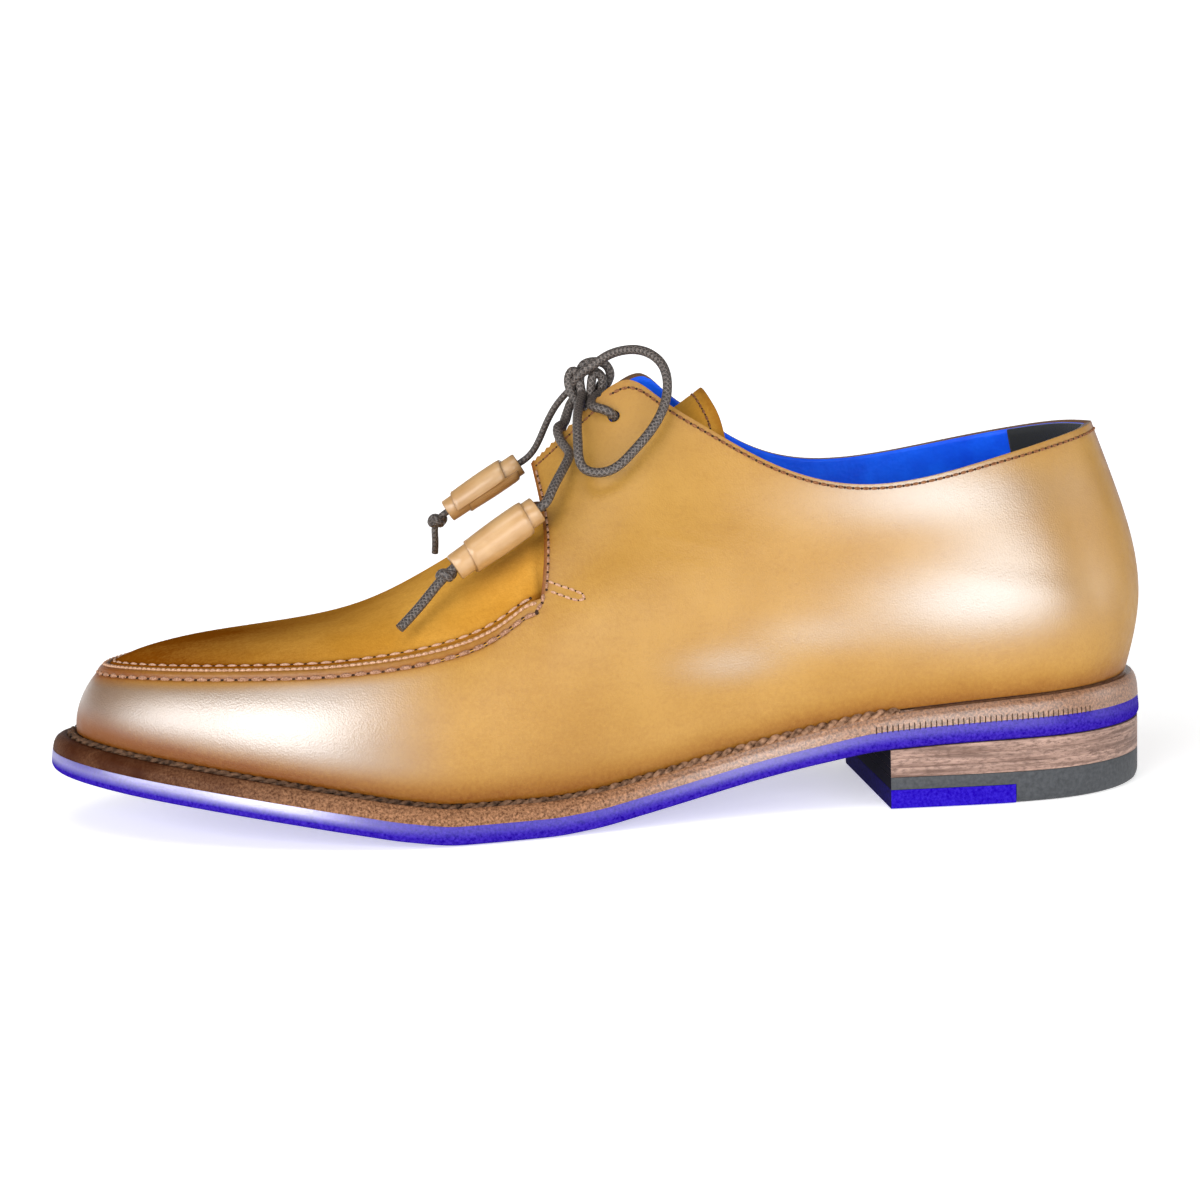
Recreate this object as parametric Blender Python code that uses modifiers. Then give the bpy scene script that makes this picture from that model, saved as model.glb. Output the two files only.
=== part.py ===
"""Lace-up dress shoe for the left foot: an apron-front derby on a welted leather sole with a stacked heel.

Tables and sizes are in millimetres, measured in the shoe's own way: along from the back of the heel towards
the toe, across from the middle line (lateral side negative), and height from the floor. The model itself is in
metres, with the toe at -X, the lateral side at -Y and +Z up.
"""
import math

import bmesh
import bpy
import numpy as np
from mathutils import Vector

MM = 0.001
GAP = 0.3
JOIN_DISTANCE = 0.001

# Place of the model's origin in the shoe's own measures: the middle of the sole's length and width
ORIGIN_ALONG = 148.6
ORIGIN_ACROSS = -1.0

# Feather line in plan, where the upper meets the welt: (along, across), from the heel's back round the
# lateral side to the toe tip and back along the medial side
TOE_TIP_ROW = 8
FEATHER_OUTLINE = (
    (4.0, 0.0),
    (20.0, -25.0),
    (55.0, -31.5),
    (100.0, -31.0),
    (155.0, -39.5),
    (200.0, -46.0),
    (238.0, -40.5),
    (270.0, -25.0),
    (290.0, 3.0),
    (276.0, 26.0),
    (248.0, 39.0),
    (208.0, 43.5),
    (160.0, 32.5),
    (112.0, 24.0),
    (62.0, 27.5),
    (20.0, 25.5),
)
OUTLINE_STEPS = 40

# Sole: (along, height of the underside) and (along, thickness)
SOLE_PROFILE = (
    (0, 17.2), (40, 17.0), (77, 15.6), (94, 13.0), (112, 9.7), (126, 6.7), (142, 3.4), (156, 0.9),
    (168, 0.0), (190, 0.0), (203, 1.5), (216, 3.9), (235, 7.3), (255, 10.4), (275, 12.9), (297, 15.6),
)
OUTSOLE_THICKNESS = ((0, 5.8), (77, 5.2), (110, 5.0), (297, 5.2))
WELT_THICKNESS = ((0, 6.8), (40, 5.4), (77, 4.4), (120, 4.1), (297, 4.5))
# (share of the way from toe tip to heel back, reach beyond the feather line)
WELT_REACH = ((0, 7.0), (0.12, 6.5), (0.3, 6.0), (0.45, 5.0), (0.62, 4.0), (0.75, 3.4), (0.9, 3.2), (1, 3.7))
# Edge of a layer from its underside up: (inset, share of the thickness)
OUTSOLE_EDGE = ((1.3, 0.0), (0.3, 0.12), (0.0, 0.35), (0.0, 0.85), (0.7, 1.0))
SQUARE_EDGE = ((0.0, 0.0), (0.0, 1.0))
WELT_INNER = 2.6
# Welt's section: (offset inward from its outer edge, share of the thickness)
WELT_OUTER_EDGE = ((0.6, 0.0), (0.0, 0.22), (0.0, 0.6), (0.5, 0.78), (1.5, 0.88))
WELT_SHELF = 1.5
INSOLE_INSET = 3.0
INSOLE_RISE = 2.2

# Heel
HEEL_BREAST = 76.5
HEEL_INSET = 0.4
LIFT_COUNT = 3
TOP_PIECE_HEIGHT = 8.4
TOP_PIECE_EDGE = ((1.2, 0.0), (0.2, 0.16), (0.0, 0.3), (0.0, 1.0))
INSERT_BACK = 43.0
INSERT_HEIGHT = 5.0
RECESS_LENGTH = 60.0
RECESS_WIDTH = 120.0

# Shoulder of the upper, which is the apron seam in front and the middle of the quarter behind:
# (share, inset from the feather line on the lateral and the medial side, height, outward lean at the feather)
SHOULDER = (
    (0.00, 8.6, 8.6, 42.6, 4),
    (0.05, 8.2, 8.2, 42.9, 4),
    (0.12, 7.4, 7.4, 43.2, 6),
    (0.20, 6.8, 6.8, 43.4, 8),
    (0.28, 7.0, 6.6, 44.3, 8),
    (0.36, 5.8, 4.6, 48.0, 6),
    (0.41, 4.6, 1.6, 53.0, 4),
    (0.445, 4.0, 0.0, 60.5, 4),
    (0.55, 2.0, -4.0, 66.0, 4),
    (0.66, 0.0, -4.5, 61.0, 4),
    (0.80, -1.0, -2.5, 57.0, 6),
    (0.92, -2.6, -3.2, 51.0, 12),
    (1.00, -3.8, -3.8, 48.0, 16),
)
# Middle line of the apron: (share, along, height)
RIDGE = (
    (0.00, 262.0, 48.3),
    (0.10, 249.0, 49.7),
    (0.18, 233.0, 51.3),
    (0.26, 214.0, 55.3),
    (0.34, 195.0, 64.2),
    (0.39, 182.0, 71.6),
    (0.445, 167.5, 80.4),
)
# Facing edge and collar: (share, along lateral, along medial, across, height lateral, height medial,
# rise in degrees, upright at 90)
COLLAR = (
    (0.445, 166.5, 162.0, 7.0, 92.8, 92.8, 50),
    (0.48, 159.5, 155.0, 8.5, 99.2, 99.2, 56),
    (0.515, 149.5, 145.0, 9.8, 108.6, 109.0, 62),
    (0.545, 140.0, 135.0, 11.0, 113.8, 114.4, 64),
    (0.57, 132.5, 128.5, 15.0, 109.0, 110.0, 66),
    (0.60, 122.0, 119.0, 20.5, 101.8, 102.8, 70),
    (0.64, 108.0, 106.5, 26.0, 93.2, 94.4, 76),
    (0.70, 88.0, 88.0, 29.5, 86.2, 88.2, 82),
    (0.76, 69.0, 69.0, 30.0, 86.2, 88.4, 84),
    (0.83, 48.0, 48.0, 27.5, 90.5, 91.8, 80),
    (0.90, 30.0, 30.0, 21.0, 94.5, 95.2, 76),
    (0.95, 18.5, 18.5, 12.0, 96.8, 97.2, 72),
    (1.00, 12.5, 12.5, 0.0, 97.6, 97.6, 70),
)
FACING_SHARE = 0.445
FACING_SLIT = 0.004
APRON_STEP = 1.0
APRON_STEP_INSET = 0.35
UPPER_WALL = 2.0
COLLAR_PULL = 10.0

# Lace holes, one in each facing: share and rise of their middle (1 at the shoulder, 2 at the facing's edge)
HOLE_SHARE = 0.5275
HOLE_RISE = 1.84
HOLE_DIAMETER = 4.1
PUNCH_DEPTH = 12.0

# Tongue: (along, height of its middle, half width, drop of its sides, lag of its sides towards the heel)
TONGUE = (
    (178.5, 69.2, 27.0, 11.0, 0.0),
    (166.0, 76.6, 27.0, 14.0, 0.5),
    (155.0, 85.0, 24.5, 13.5, 1.0),
    (144.0, 93.2, 21.5, 12.5, 2.0),
    (132.0, 101.8, 19.0, 12.5, 3.5),
    (119.5, 110.6, 17.0, 12.5, 5.5),
)
TONGUE_WALL = 1.6

# Lace of round waxed cord
CORD_DIAMETER = 2.5
CORD_SPACING = 6.0
CORD_SPACING_FINE = 2.5
KNOT_PLACE = (149.4, 0.0, 111.8)
KNOT_RING = 2.9
KNOT_CORD = 1.6
# Turns of the knot's rings about X, Y and Z in degrees
KNOT_TURNS = ((0, 0, 0), (90, 20, 0), (80, 0, 75))
# One side of the crossing from the knot to the middle, from its hole: (towards the facing's edge, outward)
CROSSING_ROWS = ((9.8, 2.1), (5.6, 2.7), (2.2, 2.9), (0.3, 1.2), (-0.3, -1.6), (-0.4, -4.6))
CROSSING_SAG = 1.5
CROSSING_START = 6.0
NEAR_LOOP_ROUTE = (
    (152.1, -3.6, 115.4), (150.3, -5.0, 116.8), (147.9, -5.6, 118.4), (145.2, -6.5, 120.1),
    (141.4, -8.6, 121.4), (136.8, -12.0, 121.4), (132.1, -16.2, 118.1), (131.2, -20.2, 110.8),
    (135.3, -23.6, 102.3), (141.5, -25.6, 95.7), (148.4, -26.6, 91.2), (153.8, -25.8, 92.0),
    (155.1, -22.2, 97.8), (154.3, -14.2, 105.0), (151.8, -3.7, 110.1),
)
FAR_LOOP_ROUTE = (
    (149.2, 3.8, 115.9), (150.4, 7.4, 116.4), (151.0, 11.0, 113.8), (150.6, 14.0, 108.6), (149.2, 17.0, 102.4),
    (147.6, 20.2, 96.0), (147.2, 23.0, 89.8), (149.4, 25.4, 84.6), (153.8, 25.6, 82.8), (157.0, 23.4, 87.0),
    (157.0, 19.6, 94.0), (155.6, 15.0, 101.2), (153.6, 9.6, 107.2), (151.7, 3.4, 110.1),
)
NEAR_END_ROUTE = (
    (153.2, -0.8, 109.5), (155.2, -2.6, 107.2), (156.2, -4.2, 104.6), (157.3, -6.4, 102.7),
    (159.2, -9.4, 101.8), (159.2, -11.8, 99.8), (158.1, -14.2, 97.5), (157.0, -16.8, 95.6),
    (158.1, -19.6, 93.2), (160.4, -23.0, 90.0), (162.9, -26.4, 86.2), (164.6, -27.9, 83.7),
)
NEAR_BEAD_AXIS = ((166.6, -28.2, 82.4), (188.6, -30.4, 68.4))
NEAR_TAIL_ROUTE = ((189.1, -30.4, 68.1), (192.3, -31.2, 65.2), (197.4, -34.0, 59.9), (203.4, -37.4, 54.3))
FAR_END_ROUTE = ((154.2, 1.3, 111.6), (158.0, 3.2, 107.4), (161.8, 5.6, 100.4), (166.4, 7.8, 92.8))
FAR_BEAD_AXIS = ((168.6, 8.0, 91.3), (188.4, 8.6, 79.0))
FAR_TAIL_ROUTE = ((188.9, 8.6, 78.7), (191.6, 9.0, 76.0), (192.0, 9.6, 71.6), (192.2, 10.8, 67.6))
TAIL_KNOT = (1.0, 1.9, 1.9, 1.0)
# Rolled leather beads: (share of the half length from the middle, share of the full radius)
BEAD_OUTLINE = ((1.0, 0.62), (0.97, 0.7), (0.78, 0.72), (0.76, 0.84), (0.72, 0.92), (0.4, 0.99), (0.0, 1.0))
NEAR_BEAD_RADIUS = 5.0
FAR_BEAD_RADIUS = 3.9
BEAD_BORE = 1.7
BEAD_RUN = (0.0, 0.35, 0.7, 1.0)

# Fineness
STATIONS = 44
HEEL_STATIONS = 14
RING_STATIONS = 42
APRON_COLUMNS = 16
QUARTER_COLUMNS = 22
WALL_ROWS = 5
APRON_ROWS = 6
FACING_ROWS = 6
TONGUE_ROWS = 12
TONGUE_COLUMNS = 8
HOLE_SIDES = 12
BEAD_SIDES = 12
CORD_ROUNDNESS = 2
KNOT_SEGMENTS = 12
KNOT_SIDES = 6
END_CROWDING = 0.5
END_MARGIN = 1e-5
SLOPE_STEP = 0.002
RISE_STEP = 0.05
SMOOTH_ANGLE = math.radians(35)

for leftover in list(bpy.data.objects):
    bpy.data.objects.remove(leftover, do_unlink=True)


def new_collection(name):
    """Collection linked to the scene."""
    collection = bpy.data.collections.new(name)
    bpy.context.scene.collection.children.link(collection)
    return collection


SHOE = new_collection("lace_up_shoe")
CUTTERS = new_collection("cutters")


def new_material(name, colour, roughness):
    """Plain finish for one kind of piece."""
    material = bpy.data.materials.new(name)
    material.use_nodes = True
    shader = material.node_tree.nodes["Principled BSDF"]
    shader.inputs["Base Color"].default_value = (*colour, 1.0)
    shader.inputs["Roughness"].default_value = roughness
    return material


CALF = new_material("tan_calf_leather", (0.47, 0.24, 0.065), 0.34)
EDGE_BLUE = new_material("violet_blue_edge", (0.055, 0.02, 0.45), 0.4)
WELT_BROWN = new_material("brown_welt_leather", (0.21, 0.11, 0.05), 0.5)
LIFT_BROWN = new_material("stacked_leather", (0.30, 0.19, 0.12), 0.55)
RUBBER = new_material("dark_rubber", (0.035, 0.035, 0.037), 0.6)
INSOLE_LEATHER = new_material("insole_leather", (0.40, 0.22, 0.08), 0.55)
TONGUE_LEATHER = new_material("tongue_leather", (0.46, 0.23, 0.065), 0.4)
CORD = new_material("waxed_cord", (0.055, 0.045, 0.04), 0.45)
BEAD_LEATHER = new_material("bead_leather", (0.45, 0.25, 0.10), 0.45)


# Curves through tables

def hermite(start, end, start_slope, end_slope, span, s):
    """Cubic between two values with given slopes, s from 0 to 1."""
    return ((1 + 2 * s) * (1 - s) ** 2 * start + s * (1 - s) ** 2 * span * start_slope
            + s * s * (3 - 2 * s) * end + s * s * (s - 1) * span * end_slope)


def even_slopes(spans, values):
    """Slopes of the cubic spline with even curvature."""
    count = len(values)
    system = np.zeros((count, count))
    right = np.zeros(count)
    system[0, :2] = (2, 1)
    system[-1, -2:] = (1, 2)
    right[0] = 3 * (values[1] - values[0]) / spans[0]
    right[-1] = 3 * (values[-1] - values[-2]) / spans[-1]
    for i in range(1, count - 1):
        before, after = spans[i - 1], spans[i]
        system[i, i - 1:i + 2] = (after, 2 * (before + after), before)
        rise_before = (values[i] - values[i - 1]) / before
        rise_after = (values[i + 1] - values[i]) / after
        right[i] = 3 * (after * rise_before + before * rise_after)
    return np.linalg.solve(system, right)


def steady_slopes(spans, values):
    """Slopes that add no bump between rows, so that flats stay flat."""
    rises = np.diff(values) / spans
    slopes = np.zeros_like(values)
    slopes[0] = rises[0]
    slopes[-1] = rises[-1]
    for i in range(1, len(values) - 1):
        if rises[i - 1] * rises[i] > 0:
            before = 2 * spans[i] + spans[i - 1]
            after = spans[i] + 2 * spans[i - 1]
            slopes[i] = (before + after) / (before / rises[i - 1] + after / rises[i])
    return slopes


def curve_of(table, column, slopes_of=even_slopes):
    """Smooth function of a table's first column that gives another column."""
    knots = np.array([row[0] for row in table], float)
    values = np.array([row[column] for row in table], float)
    spans = np.diff(knots)
    slopes = slopes_of(spans, values)

    def value(x):
        x = np.clip(np.asarray(x, float), knots[0], knots[-1])
        i = np.clip(np.searchsorted(knots, x, side="right") - 1, 0, len(spans) - 1)
        s = (x - knots[i]) / spans[i]
        return hermite(values[i], values[i + 1], slopes[i], slopes[i + 1], spans[i], s)

    return value


def closed_curve(points, steps):
    """Closed curve of even curvature through points, with so many steps to each span."""
    points = np.asarray(points, float)
    count = len(points)
    spans = np.linalg.norm(np.roll(points, -1, 0) - points, axis=1)
    system = np.zeros((count, count))
    right = np.zeros((count, 2))
    for i in range(count):
        before, after = spans[i - 1], spans[i]
        ahead = (i + 1) % count
        system[i, i - 1] = after
        system[i, i] = 2 * (before + after)
        system[i, ahead] = before
        rise_before = (points[i] - points[i - 1]) / before
        rise_after = (points[ahead] - points[i]) / after
        right[i] = 3 * (after * rise_before + before * rise_after)
    slopes = np.linalg.solve(system, right)
    samples = []
    for i in range(count):
        ahead = (i + 1) % count
        for s in np.arange(steps) / steps:
            samples.append(hermite(points[i], points[ahead], slopes[i], slopes[ahead], spans[i], s))
    return np.array(samples)


# Plan of the shoe: each side's feather line from toe tip (share 0) to heel back (share 1)

def feather_halves():
    """Points, outward normals and shares of both sides' feather lines."""
    loop = closed_curve(FEATHER_OUTLINE, OUTLINE_STEPS)
    tangents = np.roll(loop, -1, 0) - np.roll(loop, 1, 0)
    normals = np.stack([tangents[:, 1], -tangents[:, 0]], 1)
    normals /= np.linalg.norm(normals, axis=1, keepdims=True)
    if normals[TOE_TIP_ROW * OUTLINE_STEPS, 0] < 0:
        normals = -normals
    toe = TOE_TIP_ROW * OUTLINE_STEPS
    order = {-1: np.arange(toe, -1, -1), 1: np.append(np.arange(toe, len(loop)), 0)}
    halves = {}
    for side, index in order.items():
        line = loop[index]
        lengths = np.append(0, np.cumsum(np.linalg.norm(np.diff(line, axis=0), axis=1)))
        halves[side] = (line, normals[index], lengths / lengths[-1])
    return halves


FEATHER_HALVES = feather_halves()
sole_bottom = curve_of(SOLE_PROFILE, 1, steady_slopes)
outsole_thickness = curve_of(OUTSOLE_THICKNESS, 1, steady_slopes)
welt_thickness = curve_of(WELT_THICKNESS, 1, steady_slopes)
welt_reach = curve_of(WELT_REACH, 1, steady_slopes)


def feather(side, share):
    """Point and outward normal of the feather line in plan."""
    line, normals, shares = FEATHER_HALVES[side]
    point = np.array([np.interp(share, shares, line[:, k]) for k in range(2)])
    normal = np.array([np.interp(share, shares, normals[:, k]) for k in range(2)])
    return point, normal / np.linalg.norm(normal)


def outsole_top(along):
    """Height of the outsole's upper face."""
    return sole_bottom(along) + outsole_thickness(along)


def welt_top(along):
    """Height of the welt's upper face."""
    return outsole_top(along) + GAP + welt_thickness(along)


def place(point):
    """Point of the shoe's own measures in the model's frame."""
    along, across, height = point
    return Vector(((ORIGIN_ALONG - along) * MM, (across - ORIGIN_ACROSS) * MM, height * MM))


# Mesh helpers

def add_object(name, mesh, material, collection=SHOE):
    """Object of a mesh with its material and smooth shading."""
    item = bpy.data.objects.new(name, mesh)
    collection.objects.link(item)
    if material:
        mesh.materials.append(material)
    mesh.shade_smooth()
    mesh.set_sharp_from_angle(angle=SMOOTH_ANGLE)
    return item


def mesh_of(name, points, faces):
    """Mesh of faces with shared points joined and normals turned outward."""
    mesh = bpy.data.meshes.new(name)
    mesh.from_pydata(points, [], faces)
    work = bmesh.new()
    work.from_mesh(mesh)
    bmesh.ops.remove_doubles(work, verts=work.verts, dist=JOIN_DISTANCE * MM)
    bmesh.ops.recalc_face_normals(work, faces=work.faces)
    work.to_mesh(mesh)
    work.free()
    return mesh


def loft(name, sections, material, ring=False):
    """Solid through closed sections of equal point counts, with flat ends or joined into a ring."""
    count = len(sections[0])
    points = [place(point) for section in sections for point in section]
    faces = []
    for i in range(len(sections) if ring else len(sections) - 1):
        low = i * count
        high = (i + 1) % len(sections) * count
        for j in range(count):
            k = (j + 1) % count
            faces.append((low + j, low + k, high + k, high + j))
    if not ring:
        faces.append(tuple(range(count)))
        faces.append(tuple(range(len(points) - count, len(points))))
    return add_object(name, mesh_of(name, points, faces), material)


def cut(item, cutter, operation="DIFFERENCE"):
    """Boolean with a cutter that stays out of the model."""
    cutter.hide_render = True
    cutter.display_type = "WIRE"
    modifier = item.modifiers.new(cutter.name, "BOOLEAN")
    modifier.operation = operation
    modifier.solver = "EXACT"
    modifier.object = cutter


def solidify(item, wall):
    """Wall of even thickness on the inner side of a surface."""
    modifier = item.modifiers.new("wall", "SOLIDIFY")
    modifier.thickness = wall * MM
    modifier.offset = -1.0


# Sole layers

def edge_line(side, reach, inset):
    """Plan of a layer's edge on one side, as rising along values and their across values."""
    line, normals, shares = FEATHER_HALVES[side]
    edge = line + normals * (reach(shares) - inset)[:, None]
    edge = edge[::-1]
    return np.maximum.accumulate(edge[:, 0]), edge[:, 1]


def round_ends(count):
    """Stations from 0 to 1, closest together where the outline turns round the heel and the toe."""
    even = np.linspace(0, 1, count + 1)
    turned = (1 - np.cos(np.pi * even)) / 2
    spread = turned + END_CROWDING * (even - turned) * np.sin(np.pi * even)
    return np.clip(spread, END_MARGIN, 1 - END_MARGIN)


def layer(name, material, reach, edge, bottom, top, back=None, front=None):
    """Layer of the sole between two heights, inside the outline given by its reach beyond the feather line."""
    spread = round_ends(STATIONS if front is None else HEEL_STATIONS)
    lines = {(side, inset): edge_line(side, reach, inset) for side in (-1, 1) for inset, _ in edge}
    sections = []
    for station in spread:
        section = []
        for side in (-1, 1):
            for inset, share in edge[::-side]:
                along_line, across_line = lines[(side, inset)]
                first = along_line[0] if back is None else back
                last = along_line[-1] if front is None else front
                along = first + (last - first) * station
                across = np.interp(along, along_line, across_line)
                height = bottom(along) + share * (top(along) - bottom(along))
                section.append((along, across, height))
        sections.append(section)
    return loft(name, sections, material)


def heel_reach(share):
    """Reach of the heel's pieces beyond the feather line."""
    return welt_reach(share) - HEEL_INSET


def always(value):
    """Function that gives one value everywhere."""
    return lambda where: np.full_like(np.asarray(where, float), value)


def build_outsole():
    """Outsole with its rounded edge."""
    layer("outsole", EDGE_BLUE, welt_reach, OUTSOLE_EDGE, sole_bottom, outsole_top)


def build_insole():
    """Insole inside the welt, with the filler under it."""
    layer("insole", INSOLE_LEATHER, always(-INSOLE_INSET), SQUARE_EDGE,
          lambda along: outsole_top(along) + GAP, lambda along: welt_top(along) + INSOLE_RISE)


def build_welt():
    """Ring round the feather line, under the upper's lower edge."""
    spread = np.linspace(0, 1, RING_STATIONS + 1)
    spread = (spread + (1 - np.cos(np.pi * spread)) / 2) / 2
    rounds = [(-1, share) for share in spread] + [(1, share) for share in spread[-2:0:-1]]
    sections = []
    for side, share in rounds:
        point, normal = feather(side, share)
        reach = float(welt_reach(share))
        profile = [(-WELT_INNER, 0.0)]
        profile += [(reach - inset, rise) for inset, rise in WELT_OUTER_EDGE]
        profile += [(WELT_SHELF, 1.0), (-WELT_INNER, 1.0)]
        section = []
        for offset, rise in profile:
            along, across = point + normal * offset
            low = outsole_top(along) + GAP
            section.append((along, across, low + rise * (welt_top(along) - low)))
        sections.append(section)
    loft("welt", sections, WELT_BROWN, ring=True)


def build_heel_lifts():
    """Leather lifts between the top piece and the outsole, each a little wedge-shaped."""
    def level(count):
        return lambda along: TOP_PIECE_HEIGHT + (sole_bottom(along) - TOP_PIECE_HEIGHT) * count / LIFT_COUNT

    for number in range(1, LIFT_COUNT + 1):
        low, high = level(number - 1), level(number)
        layer(f"heel_lift_{number}", LIFT_BROWN, heel_reach, SQUARE_EDGE,
              lambda along, low=low: low(along) + GAP / 2, lambda along, high=high: high(along) - GAP / 2,
              front=HEEL_BREAST)


def build_heel_top():
    """Rubber top piece, cut away at the front for its blue insert."""
    rubber = layer("heel_top_rubber", RUBBER, heel_reach, TOP_PIECE_EDGE,
                   always(0.0), always(TOP_PIECE_HEIGHT - GAP / 2), front=HEEL_BREAST)
    bpy.ops.mesh.primitive_cube_add(size=1)
    recess = bpy.context.object
    recess.name = "insert_recess"
    depth = 2 * (INSERT_HEIGHT + GAP)
    recess.dimensions = (RECESS_LENGTH * MM, RECESS_WIDTH * MM, depth * MM)
    recess.location = place((INSERT_BACK - GAP + RECESS_LENGTH / 2, ORIGIN_ACROSS, 0.0))
    for collection in recess.users_collection:
        collection.objects.unlink(recess)
    CUTTERS.objects.link(recess)
    cut(rubber, recess)
    layer("heel_top_insert", EDGE_BLUE, heel_reach, SQUARE_EDGE,
          always(0.0), always(INSERT_HEIGHT), back=INSERT_BACK, front=HEEL_BREAST)


# Upper: ribs that run from the feather line over the shoulder to the apron's middle or the top edge

shoulder_inset = {-1: curve_of(SHOULDER, 1), 1: curve_of(SHOULDER, 2)}
shoulder_height = curve_of(SHOULDER, 3)
feather_lean = curve_of(SHOULDER, 4)
ridge_along = curve_of(RIDGE, 1)
ridge_height = curve_of(RIDGE, 2)
collar_along = {-1: curve_of(COLLAR, 1), 1: curve_of(COLLAR, 2)}
collar_across = curve_of(COLLAR, 3)
collar_height = {-1: curve_of(COLLAR, 4), 1: curve_of(COLLAR, 5)}
collar_rise = curve_of(COLLAR, 6)


def unit(vector):
    """Vector of length one."""
    return vector / np.linalg.norm(vector)


def ridge_slope(share):
    """Rise of the apron's middle line for each millimetre along."""
    low, high = share - SLOPE_STEP, share + SLOPE_STEP
    low, high = max(low, RIDGE[0][0]), min(high, RIDGE[-1][0])
    return (ridge_height(high) - ridge_height(low)) / (ridge_along(high) - ridge_along(low))


def rib(side, share, apron):
    """Function of the rise along one rib: 0 at the feather line, 1 at the shoulder, 2 at the top."""
    point, normal = feather(side, share)
    base = np.array([*point, welt_top(point[0]) + GAP])
    shoulder = np.array([*(point - normal * shoulder_inset[side](share)), shoulder_height(share)])
    lean = np.radians(feather_lean(share))
    start = np.array([*(normal * np.sin(lean)), np.cos(lean)])
    if apron:
        top = np.array([ridge_along(share), 0.0, ridge_height(share)])
        inward = unit(top[:2] - shoulder[:2])
        end = unit(np.array([*inward, ridge_slope(share) * inward[0]]))
    else:
        top = np.array([collar_along[side](share), side * collar_across(share), collar_height[side](share)])
        inward = unit(top[:2] - shoulder[:2] - normal * COLLAR_PULL)
        rise = np.radians(collar_rise(share))
        end = np.array([*(inward * np.cos(rise)), np.sin(rise)])
    low_span = np.linalg.norm(shoulder - base)
    high_span = np.linalg.norm(top - shoulder)
    low_rise = (shoulder - base) / low_span
    high_rise = (top - shoulder) / high_span
    middle = 3 * (high_span * low_rise + low_span * high_rise) - high_span * start - low_span * end
    middle /= 2 * (low_span + high_span)

    def at(rise):
        if rise <= 1:
            return hermite(base, shoulder, start, middle, low_span, rise)
        return hermite(shoulder, top, middle, end, high_span, rise - 1)

    return at


def spread_between(low, high, count):
    """Evenly spread values with both ends."""
    return [low + (high - low) * i / count for i in range(count + 1)]


def apron_column(at, share_of_rows):
    """Points of one apron rib, a step lower than the side panel at the seam and level with it at the middle."""
    middle = at(2)
    inward = middle - at(1)
    inward = np.array([*unit(inward[:2]), 0.0])
    column = []
    for row in share_of_rows:
        drop = APRON_STEP * (1 - row)
        inset = APRON_STEP_INSET * (1 - row)
        column.append(at(1 + row) + inward * inset - np.array([0.0, 0.0, drop]))
    return column


def upper_surface():
    """Outer skin of the upper as grids of points, column by column."""
    apron_shares = spread_between(0, FACING_SHARE - FACING_SLIT, APRON_COLUMNS)
    quarter_shares = spread_between(FACING_SHARE, 1, QUARTER_COLUMNS)
    wall_rows = spread_between(0, 1, WALL_ROWS)
    apron_rows = spread_between(0, 1, APRON_ROWS)
    facing_rows = spread_between(1, 2, FACING_ROWS)
    grids = []
    for side in (-1, 1):
        apron_ribs = [rib(side, share, True) for share in apron_shares]
        quarter_ribs = [rib(side, share, False) for share in quarter_shares]
        grids.append([[at(row) for row in wall_rows] for at in apron_ribs + quarter_ribs])
        grids.append([[at(1)] + apron_column(at, apron_rows) for at in apron_ribs])
        grids.append([[at(row) for row in facing_rows] for at in quarter_ribs])
    return grids


def hole_frame(side):
    """Middle of a lace hole, the way up to the facing's edge and the way out of the leather."""
    at = rib(side, HOLE_SHARE, False)
    ahead = rib(side, HOLE_SHARE - SLOPE_STEP, False)
    middle = at(HOLE_RISE)
    up = unit(at(HOLE_RISE + RISE_STEP) - at(HOLE_RISE - RISE_STEP))
    forward = unit(ahead(HOLE_RISE) - middle)
    out = unit(np.cross(forward, up))
    if out[1] * side < 0:
        out = -out
    return middle, up, out


def build_upper():
    """Upper as one wall, with the lace holes punched."""
    points = []
    faces = []
    for grid in upper_surface():
        first = len(points)
        rows = len(grid[0])
        points += [place(point) for column in grid for point in column]
        for i in range(len(grid) - 1):
            for j in range(rows - 1):
                corner = first + i * rows + j
                faces.append((corner, corner + rows, corner + rows + 1, corner + 1))
    upper = add_object("upper", mesh_of("upper", points, faces), CALF)
    solidify(upper, UPPER_WALL)
    for side, name in ((-1, "near_hole"), (1, "far_hole")):
        middle, _, out = hole_frame(side)
        mesh = bpy.data.meshes.new(name)
        work = bmesh.new()
        radius = HOLE_DIAMETER / 2 * MM
        bmesh.ops.create_cone(work, cap_ends=True, segments=HOLE_SIDES, radius1=radius, radius2=radius,
                              depth=PUNCH_DEPTH * MM)
        work.to_mesh(mesh)
        work.free()
        punch = add_object(name, mesh, None, CUTTERS)
        direction = Vector((-out[0], out[1], out[2]))
        punch.rotation_mode = "QUATERNION"
        punch.rotation_quaternion = direction.to_track_quat("Z", "Y")
        punch.location = place(middle)
        cut(upper, punch)


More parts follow.
